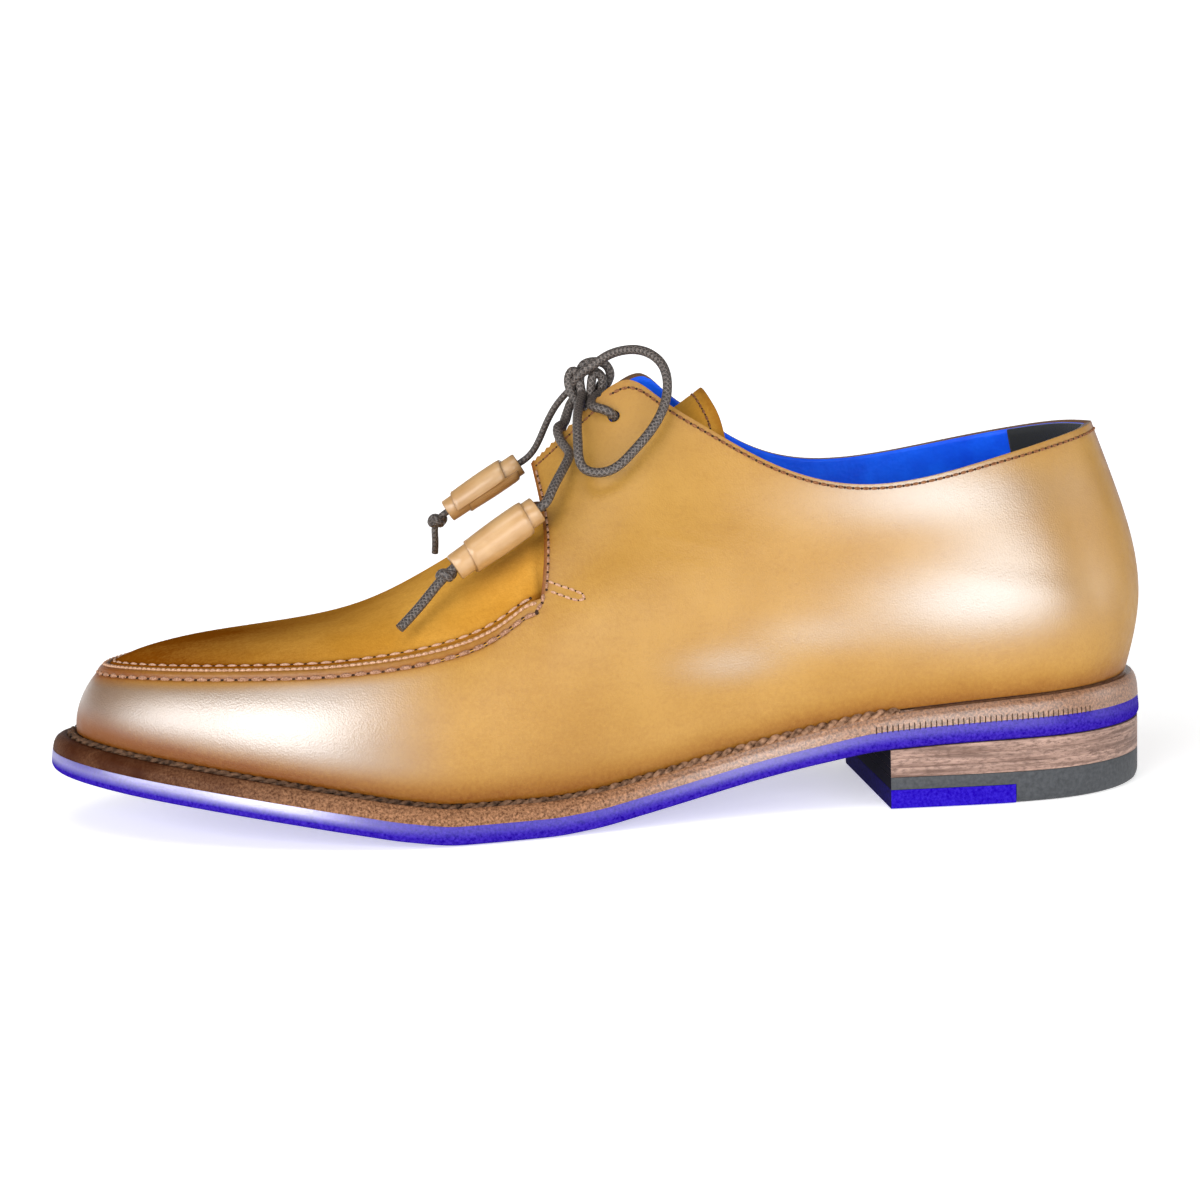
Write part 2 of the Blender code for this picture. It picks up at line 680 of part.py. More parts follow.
def build_tongue():
    """Tongue from under the apron's end up to its free top, arched across."""
    columns_of = (("height", 1), ("half_width", 2), ("drop", 3), ("lag", 4))
    shape = {name: curve_of(TONGUE[::-1], column) for name, column in columns_of}
    rows = spread_between(TONGUE[-1][0], TONGUE[0][0], TONGUE_ROWS)
    columns = spread_between(-1, 1, TONGUE_COLUMNS)
    points = []
    for along in rows:
        for column in columns:
            across = shape["half_width"](along) * column
            height = shape["height"](along) - shape["drop"](along) * column ** 2
            points.append(place((along - shape["lag"](along) * column ** 2, across, height)))
    width = len(columns)
    faces = []
    for i in range(len(rows) - 1):
        for j in range(width - 1):
            corner = i * width + j
            faces.append((corner, corner + 1, corner + width + 1, corner + width))
    mesh = bpy.data.meshes.new("tongue")
    mesh.from_pydata(points, [], faces)
    if mesh.polygons[0].normal.z < 0:
        mesh.flip_normals()
    solidify(add_object("tongue", mesh, TONGUE_LEATHER), TONGUE_WALL)


# Lace

def smooth_route(points, spacing):
    """Points at an even spacing on one smooth curve through a route's own points."""
    points = np.asarray(points, float)
    lengths = np.append(0, np.cumsum(np.linalg.norm(np.diff(points, axis=0), axis=1)))
    table = [(length, *point) for length, point in zip(lengths, points)]
    axes = [curve_of(table, column) for column in (1, 2, 3)]
    count = max(3, round(lengths[-1] / spacing))
    return [np.array([axis(length) for axis in axes]) for length in spread_between(0, lengths[-1], count)]


def tube(name, route, spacing=CORD_SPACING, swell=()):
    """Round cord along a route, with its first points swollen where it is knotted."""
    curve = bpy.data.curves.new(name, "CURVE")
    curve.dimensions = "3D"
    curve.bevel_depth = CORD_DIAMETER / 2 * MM
    curve.bevel_resolution = CORD_ROUNDNESS
    curve.use_fill_caps = True
    samples = smooth_route(route, spacing)
    spline = curve.splines.new("POLY")
    spline.points.add(len(samples) - 1)
    for number, (point, sample) in enumerate(zip(spline.points, samples)):
        point.co = (*place(sample), 1.0)
        point.radius = swell[number] if number < len(swell) else 1.0
    curve.materials.append(CORD)
    SHOE.objects.link(bpy.data.objects.new(name, curve))


def crossing_half(side):
    """Route from the knot over the facing's edge, in through its hole, to the inside."""
    middle, up, out = hole_frame(side)
    start = np.array(KNOT_PLACE) + np.array([0.0, side * CROSSING_START, 0.0])
    return [start] + [middle + up * rise + out * offset for rise, offset in CROSSING_ROWS]


def build_crossing():
    """Lace between the two holes, under the facings, and up over their edges to the knot."""
    near = crossing_half(-1)
    far = crossing_half(1)
    middle = (near[-1] + far[-1]) / 2 - np.array([0.0, 0.0, CROSSING_SAG])
    tube("lace_crossing", near + [middle] + far[::-1], CORD_SPACING_FINE)


def build_knot():
    """Knot of three rings of cord pulled into each other."""
    rings = []
    for turn in KNOT_TURNS:
        bpy.ops.mesh.primitive_torus_add(major_radius=KNOT_RING * MM, minor_radius=KNOT_CORD * MM,
                                         major_segments=KNOT_SEGMENTS, minor_segments=KNOT_SIDES,
                                         location=place(KNOT_PLACE),
                                         rotation=[math.radians(angle) for angle in turn])
        ring = bpy.context.object
        for collection in ring.users_collection:
            collection.objects.unlink(ring)
        rings.append(ring)
    rings[0].name = "lace_knot"
    rings[0].data.materials.append(CORD)
    SHOE.objects.link(rings[0])
    for number, ring in enumerate(rings[1:], 1):
        ring.name = f"knot_turn_{number}"
        CUTTERS.objects.link(ring)
        cut(rings[0], ring, "UNION")


def build_bead(name, axis, radius):
    """Rolled leather bead, turned about its axis, with a bore for the cord."""
    ends = [place(end) for end in axis]
    half = (ends[1] - ends[0]).length / 2
    outline = list(BEAD_OUTLINE) + [(-share, width) for share, width in BEAD_OUTLINE[-2::-1]]
    profile = [(width * radius * MM, 0.0, share * half) for share, width in outline]
    profile += [(BEAD_BORE * MM, 0.0, -half), (BEAD_BORE * MM, 0.0, half)]
    edges = [(i, (i + 1) % len(profile)) for i in range(len(profile))]
    mesh = bpy.data.meshes.new(name)
    mesh.from_pydata(profile, edges, [])
    bead = bpy.data.objects.new(name, mesh)
    mesh.materials.append(BEAD_LEATHER)
    SHOE.objects.link(bead)
    bead.location = (ends[0] + ends[1]) / 2
    bead.rotation_mode = "QUATERNION"
    bead.rotation_quaternion = (ends[1] - ends[0]).to_track_quat("Z", "Y")
    turn = bead.modifiers.new("turn", "SCREW")
    turn.axis = "Z"
    turn.steps = BEAD_SIDES
    turn.render_steps = BEAD_SIDES
    turn.merge_threshold = JOIN_DISTANCE * MM
    turn.use_smooth_shade = True


def end_route(route, axis):
    """Route of a lace end that runs straight through its bead."""
    start, end = np.array(axis)
    return list(route) + [start + (end - start) * share for share in BEAD_RUN]


def build_lace():
    """Crossing, knot, loops, beaded ends and knotted tips."""
    build_crossing()
    build_knot()
    tube("lace_loop_near", NEAR_LOOP_ROUTE)
    tube("lace_loop_far", FAR_LOOP_ROUTE)
    tube("lace_end_near", end_route(NEAR_END_ROUTE, NEAR_BEAD_AXIS), CORD_SPACING_FINE)
    tube("lace_end_far", end_route(FAR_END_ROUTE, FAR_BEAD_AXIS), CORD_SPACING_FINE)
    tube("lace_tail_near", NEAR_TAIL_ROUTE, CORD_SPACING_FINE, TAIL_KNOT)
    tube("lace_tail_far", FAR_TAIL_ROUTE, CORD_SPACING_FINE, TAIL_KNOT)
    build_bead("lace_bead_near", NEAR_BEAD_AXIS, NEAR_BEAD_RADIUS)
    build_bead("lace_bead_far", FAR_BEAD_AXIS, FAR_BEAD_RADIUS)


build_outsole()
build_welt()
build_insole()
build_heel_lifts()
build_heel_top()
build_upper()
build_tongue()
build_lace()
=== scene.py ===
"""Looks of the lace-up shoe: leather panels, seams, welted sole, stacked heel and the tied cord lace.

Tables are in millimetres in the shoe's own measures: along from the back of the heel to the toe, across from
the middle line (lateral side negative) and height from the floor. The model is in metres.
"""

import math

import bmesh
import bpy
import numpy as np
from mathutils import Matrix, Vector


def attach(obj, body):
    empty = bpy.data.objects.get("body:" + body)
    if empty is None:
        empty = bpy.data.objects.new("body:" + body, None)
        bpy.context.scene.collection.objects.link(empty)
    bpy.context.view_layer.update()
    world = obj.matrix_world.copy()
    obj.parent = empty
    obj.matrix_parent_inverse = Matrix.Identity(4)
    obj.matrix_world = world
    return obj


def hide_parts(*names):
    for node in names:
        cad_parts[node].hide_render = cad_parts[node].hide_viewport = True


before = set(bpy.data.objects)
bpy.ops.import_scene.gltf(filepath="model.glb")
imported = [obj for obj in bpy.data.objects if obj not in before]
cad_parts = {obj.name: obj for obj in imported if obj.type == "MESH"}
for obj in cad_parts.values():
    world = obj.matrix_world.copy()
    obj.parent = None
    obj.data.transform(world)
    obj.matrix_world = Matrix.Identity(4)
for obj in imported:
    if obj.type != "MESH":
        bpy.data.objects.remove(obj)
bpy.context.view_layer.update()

MM = 0.001
GAP = 0.3
ORIGIN_ALONG = 148.6
ORIGIN_ACROSS = -1.0
BODY = "root"

# Feather line in plan, sole heights, and the upper's ribs by their share of the way from toe tip to heel back
TOE_TIP_ROW = 8
FEATHER_OUTLINE = (
    (4.0, 0.0), (20.0, -25.0), (55.0, -31.5), (100.0, -31.0), (155.0, -39.5), (200.0, -46.0), (238.0, -40.5),
    (270.0, -25.0), (290.0, 3.0), (276.0, 26.0), (248.0, 39.0), (208.0, 43.5), (160.0, 32.5), (112.0, 24.0),
    (62.0, 27.5), (20.0, 25.5),
)
OUTLINE_STEPS = 40
SOLE_PROFILE = (
    (0, 17.2), (40, 17.0), (77, 15.6), (94, 13.0), (112, 9.7), (126, 6.7), (142, 3.4), (156, 0.9),
    (168, 0.0), (190, 0.0), (203, 1.5), (216, 3.9), (235, 7.3), (255, 10.4), (275, 12.9), (297, 15.6),
)
OUTSOLE_THICKNESS = ((0, 5.8), (77, 5.2), (110, 5.0), (297, 5.2))
WELT_THICKNESS = ((0, 6.8), (40, 5.4), (77, 4.4), (120, 4.1), (297, 4.5))
WELT_REACH = ((0, 7.0), (0.12, 6.5), (0.3, 6.0), (0.45, 5.0), (0.62, 4.0), (0.75, 3.4), (0.9, 3.2), (1, 3.7))
INSOLE_INSET = 3.0
INSOLE_RISE = 2.2
HEEL_BREAST = 76.5
HEEL_INSET = 0.4
LIFT_COUNT = 3
TOP_PIECE_HEIGHT = 8.4
INSERT_BACK = 43.0
INSERT_HEIGHT = 5.0
SHOULDER = (
    (0.00, 8.6, 8.6, 42.6, 4), (0.05, 8.2, 8.2, 42.9, 4), (0.12, 7.4, 7.4, 43.2, 6),
    (0.20, 6.8, 6.8, 43.4, 8), (0.28, 7.0, 6.6, 44.3, 8), (0.36, 5.8, 4.6, 48.0, 6),
    (0.41, 4.6, 1.6, 53.0, 4), (0.445, 4.0, 0.0, 60.5, 4), (0.55, 2.0, -4.0, 66.0, 4),
    (0.66, 0.0, -4.5, 61.0, 4), (0.80, -1.0, -2.5, 57.0, 6), (0.92, -2.6, -3.2, 51.0, 12),
    (1.00, -3.8, -3.8, 48.0, 16),
)
RIDGE = (
    (0.00, 262.0, 48.3), (0.10, 249.0, 49.7), (0.18, 233.0, 51.3), (0.26, 214.0, 55.3), (0.34, 195.0, 64.2),
    (0.39, 182.0, 71.6), (0.445, 167.5, 80.4),
)
COLLAR = (
    (0.445, 166.5, 162.0, 7.0, 92.8, 92.8, 50), (0.48, 159.5, 155.0, 8.5, 99.2, 99.2, 56),
    (0.515, 149.5, 145.0, 9.8, 108.6, 109.0, 62), (0.545, 140.0, 135.0, 11.0, 113.8, 114.4, 64),
    (0.57, 132.5, 128.5, 15.0, 109.0, 110.0, 66), (0.60, 122.0, 119.0, 20.5, 101.8, 102.8, 70),
    (0.64, 108.0, 106.5, 26.0, 93.2, 94.4, 76), (0.70, 88.0, 88.0, 29.5, 86.2, 88.2, 82),
    (0.76, 69.0, 69.0, 30.0, 86.2, 88.4, 84), (0.83, 48.0, 48.0, 27.5, 90.5, 91.8, 80),
    (0.90, 30.0, 30.0, 21.0, 94.5, 95.2, 76), (0.95, 18.5, 18.5, 12.0, 96.8, 97.2, 72),
    (1.00, 12.5, 12.5, 0.0, 97.6, 97.6, 70),
)
RIDGE_ACROSS = ((0.00, 1.6), (0.10, 0.74), (0.18, 0.15), (0.26, 0.0), (0.445, 0.0))
SEAM_RISE = ((0.00, 1.02), (0.10, 1.045), (0.21, 1.06), (0.28, 1.05), (0.35, 1.03), (0.41, 1.04),
             (0.43, 1.04), (0.445, 1.0))
FACING_SHARE = 0.445
APRON_END = 0.486
APRON_STEP = 1.0
APRON_STEP_INSET = 0.35
COLLAR_PULL = 10.0
HOLE_SHARE = 0.5275
HOLE_RISE = 1.84
HOLE_DIAMETER = 4.1
HOLE_SEEN = 3.3
TONGUE = (
    (119.5, 110.6, 17.0, 12.5, 5.5), (132.0, 101.8, 19.0, 12.5, 3.5), (144.0, 93.2, 21.5, 12.5, 2.0),
    (155.0, 85.0, 24.5, 13.5, 1.0), (166.0, 76.6, 27.0, 14.0, 0.5), (178.5, 69.2, 27.0, 11.0, 0.0),
)

# Lace routes
CORD_DIAMETER = 2.5
KNOT_PLACE = (149.4, 0.0, 111.8)
CROSSING_ROWS = ((4.4, 4.6, 1.8), (2.5, 2.7, 2.2), (0.9, 1.1, 1.9), (0.2, 0.3, 0.6), (-0.2, -0.2, -1.6),
                 (-0.4, -0.4, -4.6))
CROSSING_SAG = 1.5
CROSSING_START = (-2.9, 3.4, -1.2)
NEAR_LOOP_ROUTE = (
    (152.1, -3.6, 115.4), (150.3, -5.0, 116.8), (147.9, -5.6, 118.4), (145.2, -6.5, 120.1),
    (141.4, -8.6, 121.4), (136.8, -12.0, 121.4), (132.1, -16.2, 118.1), (131.2, -20.2, 110.8),
    (135.3, -23.6, 102.3), (141.5, -25.6, 95.7), (148.4, -26.6, 91.2), (153.8, -25.8, 92.0),
    (155.1, -22.2, 97.8), (154.3, -14.2, 105.0), (151.8, -3.7, 110.1),
)
FAR_LOOP_ROUTE = (
    (149.2, 3.8, 115.9), (150.4, 7.4, 116.4), (151.0, 11.0, 113.8), (150.6, 14.0, 108.6),
    (149.2, 17.0, 102.4), (147.6, 20.2, 96.0), (147.2, 23.0, 89.8), (149.4, 25.4, 84.6),
    (153.8, 25.6, 82.8), (157.0, 23.4, 87.0), (157.0, 19.6, 94.0), (155.6, 15.0, 101.2),
    (153.6, 9.6, 107.2), (151.7, 3.4, 110.1),
)
NEAR_END_ROUTE = (
    (153.2, -0.8, 109.5), (155.2, -2.6, 107.2), (156.2, -4.2, 104.6), (157.3, -6.4, 102.7),
    (159.2, -9.4, 101.8), (159.2, -11.8, 99.8), (158.1, -14.2, 97.5), (157.0, -16.8, 95.6),
    (158.1, -19.6, 93.2), (160.4, -23.0, 90.0), (162.9, -26.4, 86.2), (164.6, -27.9, 83.7),
)
NEAR_BEAD_AXIS = ((166.6, -28.2, 82.4), (188.6, -30.4, 68.4))
NEAR_TAIL_ROUTE = ((189.1, -30.4, 68.1), (192.3, -31.2, 65.2), (197.4, -34.0, 59.9), (203.4, -37.4, 54.3))
FAR_END_ROUTE = ((154.2, 1.3, 111.6), (158.0, 3.2, 107.4), (161.8, 5.6, 100.4), (166.4, 7.8, 92.8))
FAR_BEAD_AXIS = ((168.6, 8.0, 91.3), (188.4, 8.6, 79.0))
FAR_TAIL_ROUTE = ((188.9, 8.6, 78.7), (191.6, 9.0, 76.0), (192.0, 9.6, 71.6), (192.2, 10.8, 67.6))
BEAD_RUN = (0.0, 0.35, 0.7, 1.0)

# Camera, fitted to the photo
CAMERA_AIM = (-0.0014, 0.0010, 0.050)
CAMERA_DISTANCE = 0.696
CAMERA_YAW = 5.3
CAMERA_PITCH = 8.2
CAMERA_ROLL = 1.8
CAMERA_LENS = 77.19
CAMERA_SENSOR = 36.0
CAMERA_CLIP = (0.01, 50.0)
PHOTO_WIDTH = 1200
CAMERA_SHIFT_PX = (5, 15.5)


# Curves through tables

def hermite(start, end, start_slope, end_slope, span, s):
    """Cubic between two values with given slopes, s from 0 to 1."""
    return ((1 + 2 * s) * (1 - s) ** 2 * start + s * (1 - s) ** 2 * span * start_slope
            + s * s * (3 - 2 * s) * end + s * s * (s - 1) * span * end_slope)


def even_slopes(spans, values):
    """Slopes of the cubic spline with even curvature."""
    count = len(values)
    system = np.zeros((count, count))
    right = np.zeros(count)
    system[0, :2] = (2, 1)
    system[-1, -2:] = (1, 2)
    right[0] = 3 * (values[1] - values[0]) / spans[0]
    right[-1] = 3 * (values[-1] - values[-2]) / spans[-1]
    for i in range(1, count - 1):
        before, after = spans[i - 1], spans[i]
        system[i, i - 1:i + 2] = (after, 2 * (before + after), before)
        rise_before = (values[i] - values[i - 1]) / before
        rise_after = (values[i + 1] - values[i]) / after
        right[i] = 3 * (after * rise_before + before * rise_after)
    return np.linalg.solve(system, right)


def steady_slopes(spans, values):
    """Slopes that add no bump between rows, so that flats stay flat."""
    rises = np.diff(values) / spans
    slopes = np.zeros_like(values)
    slopes[0] = rises[0]
    slopes[-1] = rises[-1]
    for i in range(1, len(values) - 1):
        if rises[i - 1] * rises[i] > 0:
            before = 2 * spans[i] + spans[i - 1]
            after = spans[i] + 2 * spans[i - 1]
            slopes[i] = (before + after) / (before / rises[i - 1] + after / rises[i])
    return slopes


def curve_of(table, column, slopes_of=even_slopes):
    """Smooth function of a table's first column that gives another column."""
    knots = np.array([row[0] for row in table], float)
    values = np.array([row[column] for row in table], float)
    spans = np.diff(knots)
    slopes = slopes_of(spans, values)

    def value(x):
        x = np.clip(np.asarray(x, float), knots[0], knots[-1])
        i = np.clip(np.searchsorted(knots, x, side="right") - 1, 0, len(spans) - 1)
        s = (x - knots[i]) / spans[i]
        return hermite(values[i], values[i + 1], slopes[i], slopes[i + 1], spans[i], s)

    return value


def closed_curve(points, steps):
    """Closed curve of even curvature through points, with so many steps to each span."""
    points = np.asarray(points, float)
    count = len(points)
    spans = np.linalg.norm(np.roll(points, -1, 0) - points, axis=1)
    system = np.zeros((count, count))
    right = np.zeros((count, 2))
    for i in range(count):
        before, after = spans[i - 1], spans[i]
        ahead = (i + 1) % count
        system[i, i - 1] = after
        system[i, i] = 2 * (before + after)
        system[i, ahead] = before
        rise_before = (points[i] - points[i - 1]) / before
        rise_after = (points[ahead] - points[i]) / after
        right[i] = 3 * (after * rise_before + before * rise_after)
    slopes = np.linalg.solve(system, right)
    samples = []
    for i in range(count):
        ahead = (i + 1) % count
        for s in np.arange(steps) / steps:
            samples.append(hermite(points[i], points[ahead], slopes[i], slopes[ahead], spans[i], s))
    return np.array(samples)


def unit(vectors):
    """Vectors of length one."""
    return vectors / np.maximum(np.linalg.norm(vectors, axis=-1, keepdims=True), 1e-12)


def run_lengths(points):
    """Length along a line at each of its points, from the first."""
    return np.append(0, np.cumsum(np.linalg.norm(np.diff(points, axis=0), axis=1)))


def interp_rows(where, knots, rows):
    """Rows of values between those at rising knots."""
    return np.stack([np.interp(where, knots, rows[:, k]) for k in range(rows.shape[1])], -1)


def smooth_step(low, high, x):
    """0 below low, 1 above high, and smooth between."""
    s = np.clip((np.asarray(x, float) - low) / (high - low), 0, 1)
    return s * s * (3 - 2 * s)


def bell(x, width):
    """Soft ridge of height one and the given half width."""
    return np.exp(-(np.asarray(x, float) / width) ** 2)


def ridge(x, height, width, middle=0.0):
    """Soft ridge of a height and half width about its middle."""
    return height * bell(x - middle, width)


def fading(x, amount, start, end):
    """An amount that fades out smoothly from start to end."""
    return amount * (1 - smooth_step(start, end, x))


def joined_steps(*spans):
    """Even steps through spans that follow each other: (from, to, number of steps and one)."""
    return np.concatenate([np.linspace(*span)[int(number > 0):] for number, span in enumerate(spans)])


def always(value):
    """Function that gives one value everywhere."""
    return lambda where: np.full_like(np.asarray(where, float), value)


def place(points):
    """Points of the shoe's own measures in the model's frame."""
    points = np.asarray(points, float)
    moved = np.stack([ORIGIN_ALONG - points[..., 0], points[..., 1] - ORIGIN_ACROSS, points[..., 2]], -1)
    return moved * MM


# Plan and sole

def feather_halves():
    """Points, outward normals and shares of both sides' feather lines, from toe tip to heel back."""
    loop = closed_curve(FEATHER_OUTLINE, OUTLINE_STEPS)
    tangents = np.roll(loop, -1, 0) - np.roll(loop, 1, 0)
    normals = unit(np.stack([tangents[:, 1], -tangents[:, 0]], 1))
    toe = TOE_TIP_ROW * OUTLINE_STEPS
    if normals[toe, 0] < 0:
        normals = -normals
    order = {-1: np.arange(toe, -1, -1), 1: np.append(np.arange(toe, len(loop)), 0)}
    halves = {}
    for side, index in order.items():
        line = loop[index]
        lengths = run_lengths(line)
        halves[side] = (line, normals[index], lengths / lengths[-1])
    return halves


FEATHER_HALVES = feather_halves()
sole_bottom = curve_of(SOLE_PROFILE, 1, steady_slopes)
outsole_thickness = curve_of(OUTSOLE_THICKNESS, 1, steady_slopes)
welt_thickness = curve_of(WELT_THICKNESS, 1, steady_slopes)
welt_reach = curve_of(WELT_REACH, 1, steady_slopes)


def feather(side, share):
    """Points and outward normals of the feather line in plan."""
    line, normals, shares = FEATHER_HALVES[side]
    return interp_rows(share, shares, line), unit(interp_rows(share, shares, normals))


def outsole_top(along):
    """Height of the outsole's upper face."""
    return sole_bottom(along) + outsole_thickness(along)


def welt_top(along):
    """Height of the welt's upper face."""
    return outsole_top(along) + GAP + welt_thickness(along)


# Skin of the upper

shoulder_inset = {-1: curve_of(SHOULDER, 1), 1: curve_of(SHOULDER, 2)}
shoulder_height = curve_of(SHOULDER, 3)
feather_lean = curve_of(SHOULDER, 4)
ridge_along = curve_of(RIDGE, 1)
ridge_height = curve_of(RIDGE, 2)
ridge_across = curve_of(RIDGE_ACROSS, 1)
seam_rise = curve_of(SEAM_RISE, 1, steady_slopes)
collar_along = {-1: curve_of(COLLAR, 1), 1: curve_of(COLLAR, 2)}
collar_across = curve_of(COLLAR, 3)
collar_height = {-1: curve_of(COLLAR, 4), 1: curve_of(COLLAR, 5)}
collar_rise = curve_of(COLLAR, 6)
SLOPE_STEP = 0.002


def with_height(plan, height):
    """Plan points with a height."""
    return np.concatenate([plan, np.asarray(height)[..., None]], -1)


def skin(side, share, rise, apron):
    """Points of the upper's ribs: rise 0 at the feather line, 1 at the shoulder, 2 at the top."""
    share, rise = np.broadcast_arrays(np.asarray(share, float), np.asarray(rise, float))
    point, normal = feather(side, share)
    base = with_height(point, welt_top(point[..., 0]) + GAP)
    shoulder = with_height(point - normal * shoulder_inset[side](share)[..., None], shoulder_height(share))
    lean = np.radians(feather_lean(share))
    start = with_height(normal * np.sin(lean)[..., None], np.cos(lean))
    if apron:
        top = np.stack([ridge_along(share), ridge_across(share), ridge_height(share)], -1)
        low = np.clip(share - SLOPE_STEP, RIDGE[0][0], RIDGE[-1][0] - SLOPE_STEP)
        high = np.minimum(low + 2 * SLOPE_STEP, RIDGE[-1][0])
        slope = (ridge_height(high) - ridge_height(low)) / (ridge_along(high) - ridge_along(low))
        inward = unit(top[..., :2] - shoulder[..., :2])
        end = unit(with_height(inward, slope * inward[..., 0]))
    else:
        across = side * collar_across(share)
        top = np.stack([collar_along[side](share), across, collar_height[side](share)], -1)
        inward = unit(top[..., :2] - shoulder[..., :2] - normal * COLLAR_PULL)
        lift = np.radians(collar_rise(share))
        end = with_height(inward * np.cos(lift)[..., None], np.sin(lift))
    low_span = np.linalg.norm(shoulder - base, axis=-1)[..., None]
    high_span = np.linalg.norm(top - shoulder, axis=-1)[..., None]
    middle = 3 * (high_span * (shoulder - base) / low_span + low_span * (top - shoulder) / high_span)
    middle = (middle - high_span * start - low_span * end) / (2 * (low_span + high_span))
    below = hermite(base, shoulder, start, middle, low_span, rise[..., None])
    above = hermite(shoulder, top, middle, end, high_span, rise[..., None] - 1)
    return np.where(rise[..., None] <= 1, below, above)


BLEND_START = 0.365
BLEND_END = 0.447


def wall(side, share, rise):
    """Points of the side panels, which pass smoothly from the apron's ribs to the quarter's."""
    share, rise = np.broadcast_arrays(np.asarray(share, float), np.asarray(rise, float))
    weight = smooth_step(BLEND_START, BLEND_END, share)[..., None] * (rise <= 1)[..., None]
    return skin(side, share, rise, True) * (1 - weight) + skin(side, share, rise, False) * weight


FACING_BOW = 0.0068
BOW_REACH = 0.07
BOW_END = 0.6
PINK_END = 0.522
PINK_PITCH = 2.35
PINK_DEPTH = 0.75


def side_share(share, rise):
    """Share of a quarter's column at a rise: the facing's front edge is bowed in between its corners."""
    bow = FACING_BOW * np.sin(np.pi * np.clip(rise - 1, 0, 1)) * (rise > 1)
    return share + bow * bell(share - FACING_SHARE, BOW_REACH) * (share < BOW_END)


def grid_normals(points, side):
    """Outward normals of a grid of points, columns by rows."""
    across = np.gradient(points, axis=0)
    up = np.gradient(points, axis=1)
    return unit(np.cross(across, up)) * side


def row_lengths(points):
    """Length along each column of a grid, from its first row."""
    steps = np.linalg.norm(np.diff(points, axis=1), axis=-1)
    return np.concatenate([np.zeros((len(points), 1)), np.cumsum(steps, axis=1)], 1)


# Meshes

WELD = 0.02
LEATHER_ANGLE = 60
CUT_EDGE_ANGLE = 55


def grid_quads(columns, rows, flip=False):
    """Faces of a grid of points."""
    quads = []
    for i in range(columns - 1):
        for j in range(rows - 1):
            a = i * rows + j
            quad = (a, a + rows, a + rows + 1, a + 1)
            quads.append(quad[::-1] if flip else quad)
    return quads


def band_faces(starts, count):
    """Faces between rings of so many points each, given by the numbers of their first points."""
    faces = []
    for low, high in zip(starts, starts[1:]):
        for j in range(count):
            k = (j + 1) % count
            faces.append((low + j, low + k, high + k, high + j))
    return faces


def join_parts(parts):
    """One array of points and one list of faces from several."""
    points, faces, first = [], [], 0
    for part_points, part_faces in parts:
        points.append(part_points)
        faces += [tuple(first + k for k in face) for face in part_faces]
        first += len(part_points)
    return np.concatenate(points), faces


def put(name, data):
    """New object of some data in the scene."""
    thing = bpy.data.objects.new(name, data)
    bpy.context.scene.collection.objects.link(thing)
    return thing


def new_piece(name, points, faces, materials, slot, nodes=(), values=None, merge=0.0, smooth_angle=40):
    """Object of faces in the shoe's own measures, riding on its body in the place of CAD nodes.

    values are numbers at each point for the material; points closer than merge become one.
    """
    mesh = bpy.data.meshes.new(name)
    mesh.from_pydata(place(points).tolist(), [], faces)
    for key, numbers in (values or {}).items():
        kept = mesh.attributes.new(key, "FLOAT", "POINT")
        kept.data.foreach_set("value", np.asarray(numbers, np.float32))
    if merge:
        work = bmesh.new()
        work.from_mesh(mesh)
        bmesh.ops.remove_doubles(work, verts=work.verts, dist=merge * MM)
        work.to_mesh(mesh)
        work.free()
    for material in materials:
        mesh.materials.append(material)
    mesh.shade_smooth()
    mesh.set_sharp_from_angle(angle=math.radians(smooth_angle))
    piece = put(name, mesh)
    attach(piece, BODY)
    if nodes:
        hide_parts(*nodes)
    return piece


def leather_piece(name, points, faces, materials, nodes=(), values=None, merge=WELD):
    """Piece of the upper's leather."""
    return new_piece(name, points, faces, materials, "calf_leather", nodes, values, merge, LEATHER_ANGLE)


def turn_outward(piece):
    """Faces of a piece turned outward."""
    work = bmesh.new()
    work.from_mesh(piece.data)
    bmesh.ops.recalc_face_normals(work, faces=work.faces)
    work.to_mesh(piece.data)
    work.free()


def thicken(piece, thickness, edge_slot=0, inner_slot=0, rounding=0.0):
    """Wall on the inner side of a surface, with softened cut edges."""
    shell = piece.modifiers.new("wall", "SOLIDIFY")
    shell.thickness = thickness * MM
    shell.offset = -1.0
    shell.use_even_offset = False
    shell.material_offset_rim = edge_slot
    shell.material_offset = inner_slot
    if rounding:
        soft = piece.modifiers.new("cut_edge", "BEVEL")
        soft.width = rounding * MM
        soft.segments = 2
        soft.limit_method = "ANGLE"
        soft.angle_limit = math.radians(CUT_EDGE_ANGLE)


def sweep(path, radii, sides):
    """Points and faces of a closed tube along a path with a radius at each of its points."""
    path = np.asarray(path, float)
    tangents = unit(np.gradient(path, axis=0))
    side_way = np.cross(tangents[0], [0.0, 0.0, 1.0])
    if np.linalg.norm(side_way) < 0.1:
        side_way = np.cross(tangents[0], [0.0, 1.0, 0.0])
    angles = np.arange(sides) * 2 * np.pi / sides
    rings = []
    for point, tangent, radius in zip(path, tangents, np.broadcast_to(radii, len(path))):
        side_way = unit(side_way - tangent * (side_way @ tangent))
        other = np.cross(tangent, side_way)
        rings.append(point + radius * (np.cos(angles)[:, None] * side_way + np.sin(angles)[:, None] * other))
    points = np.concatenate(rings)
    faces = band_faces(range(0, len(points), sides), sides)
    faces.append(tuple(range(sides))[::-1])
    faces.append(tuple(range(len(points) - sides, len(points))))
    return points, faces


# Materials

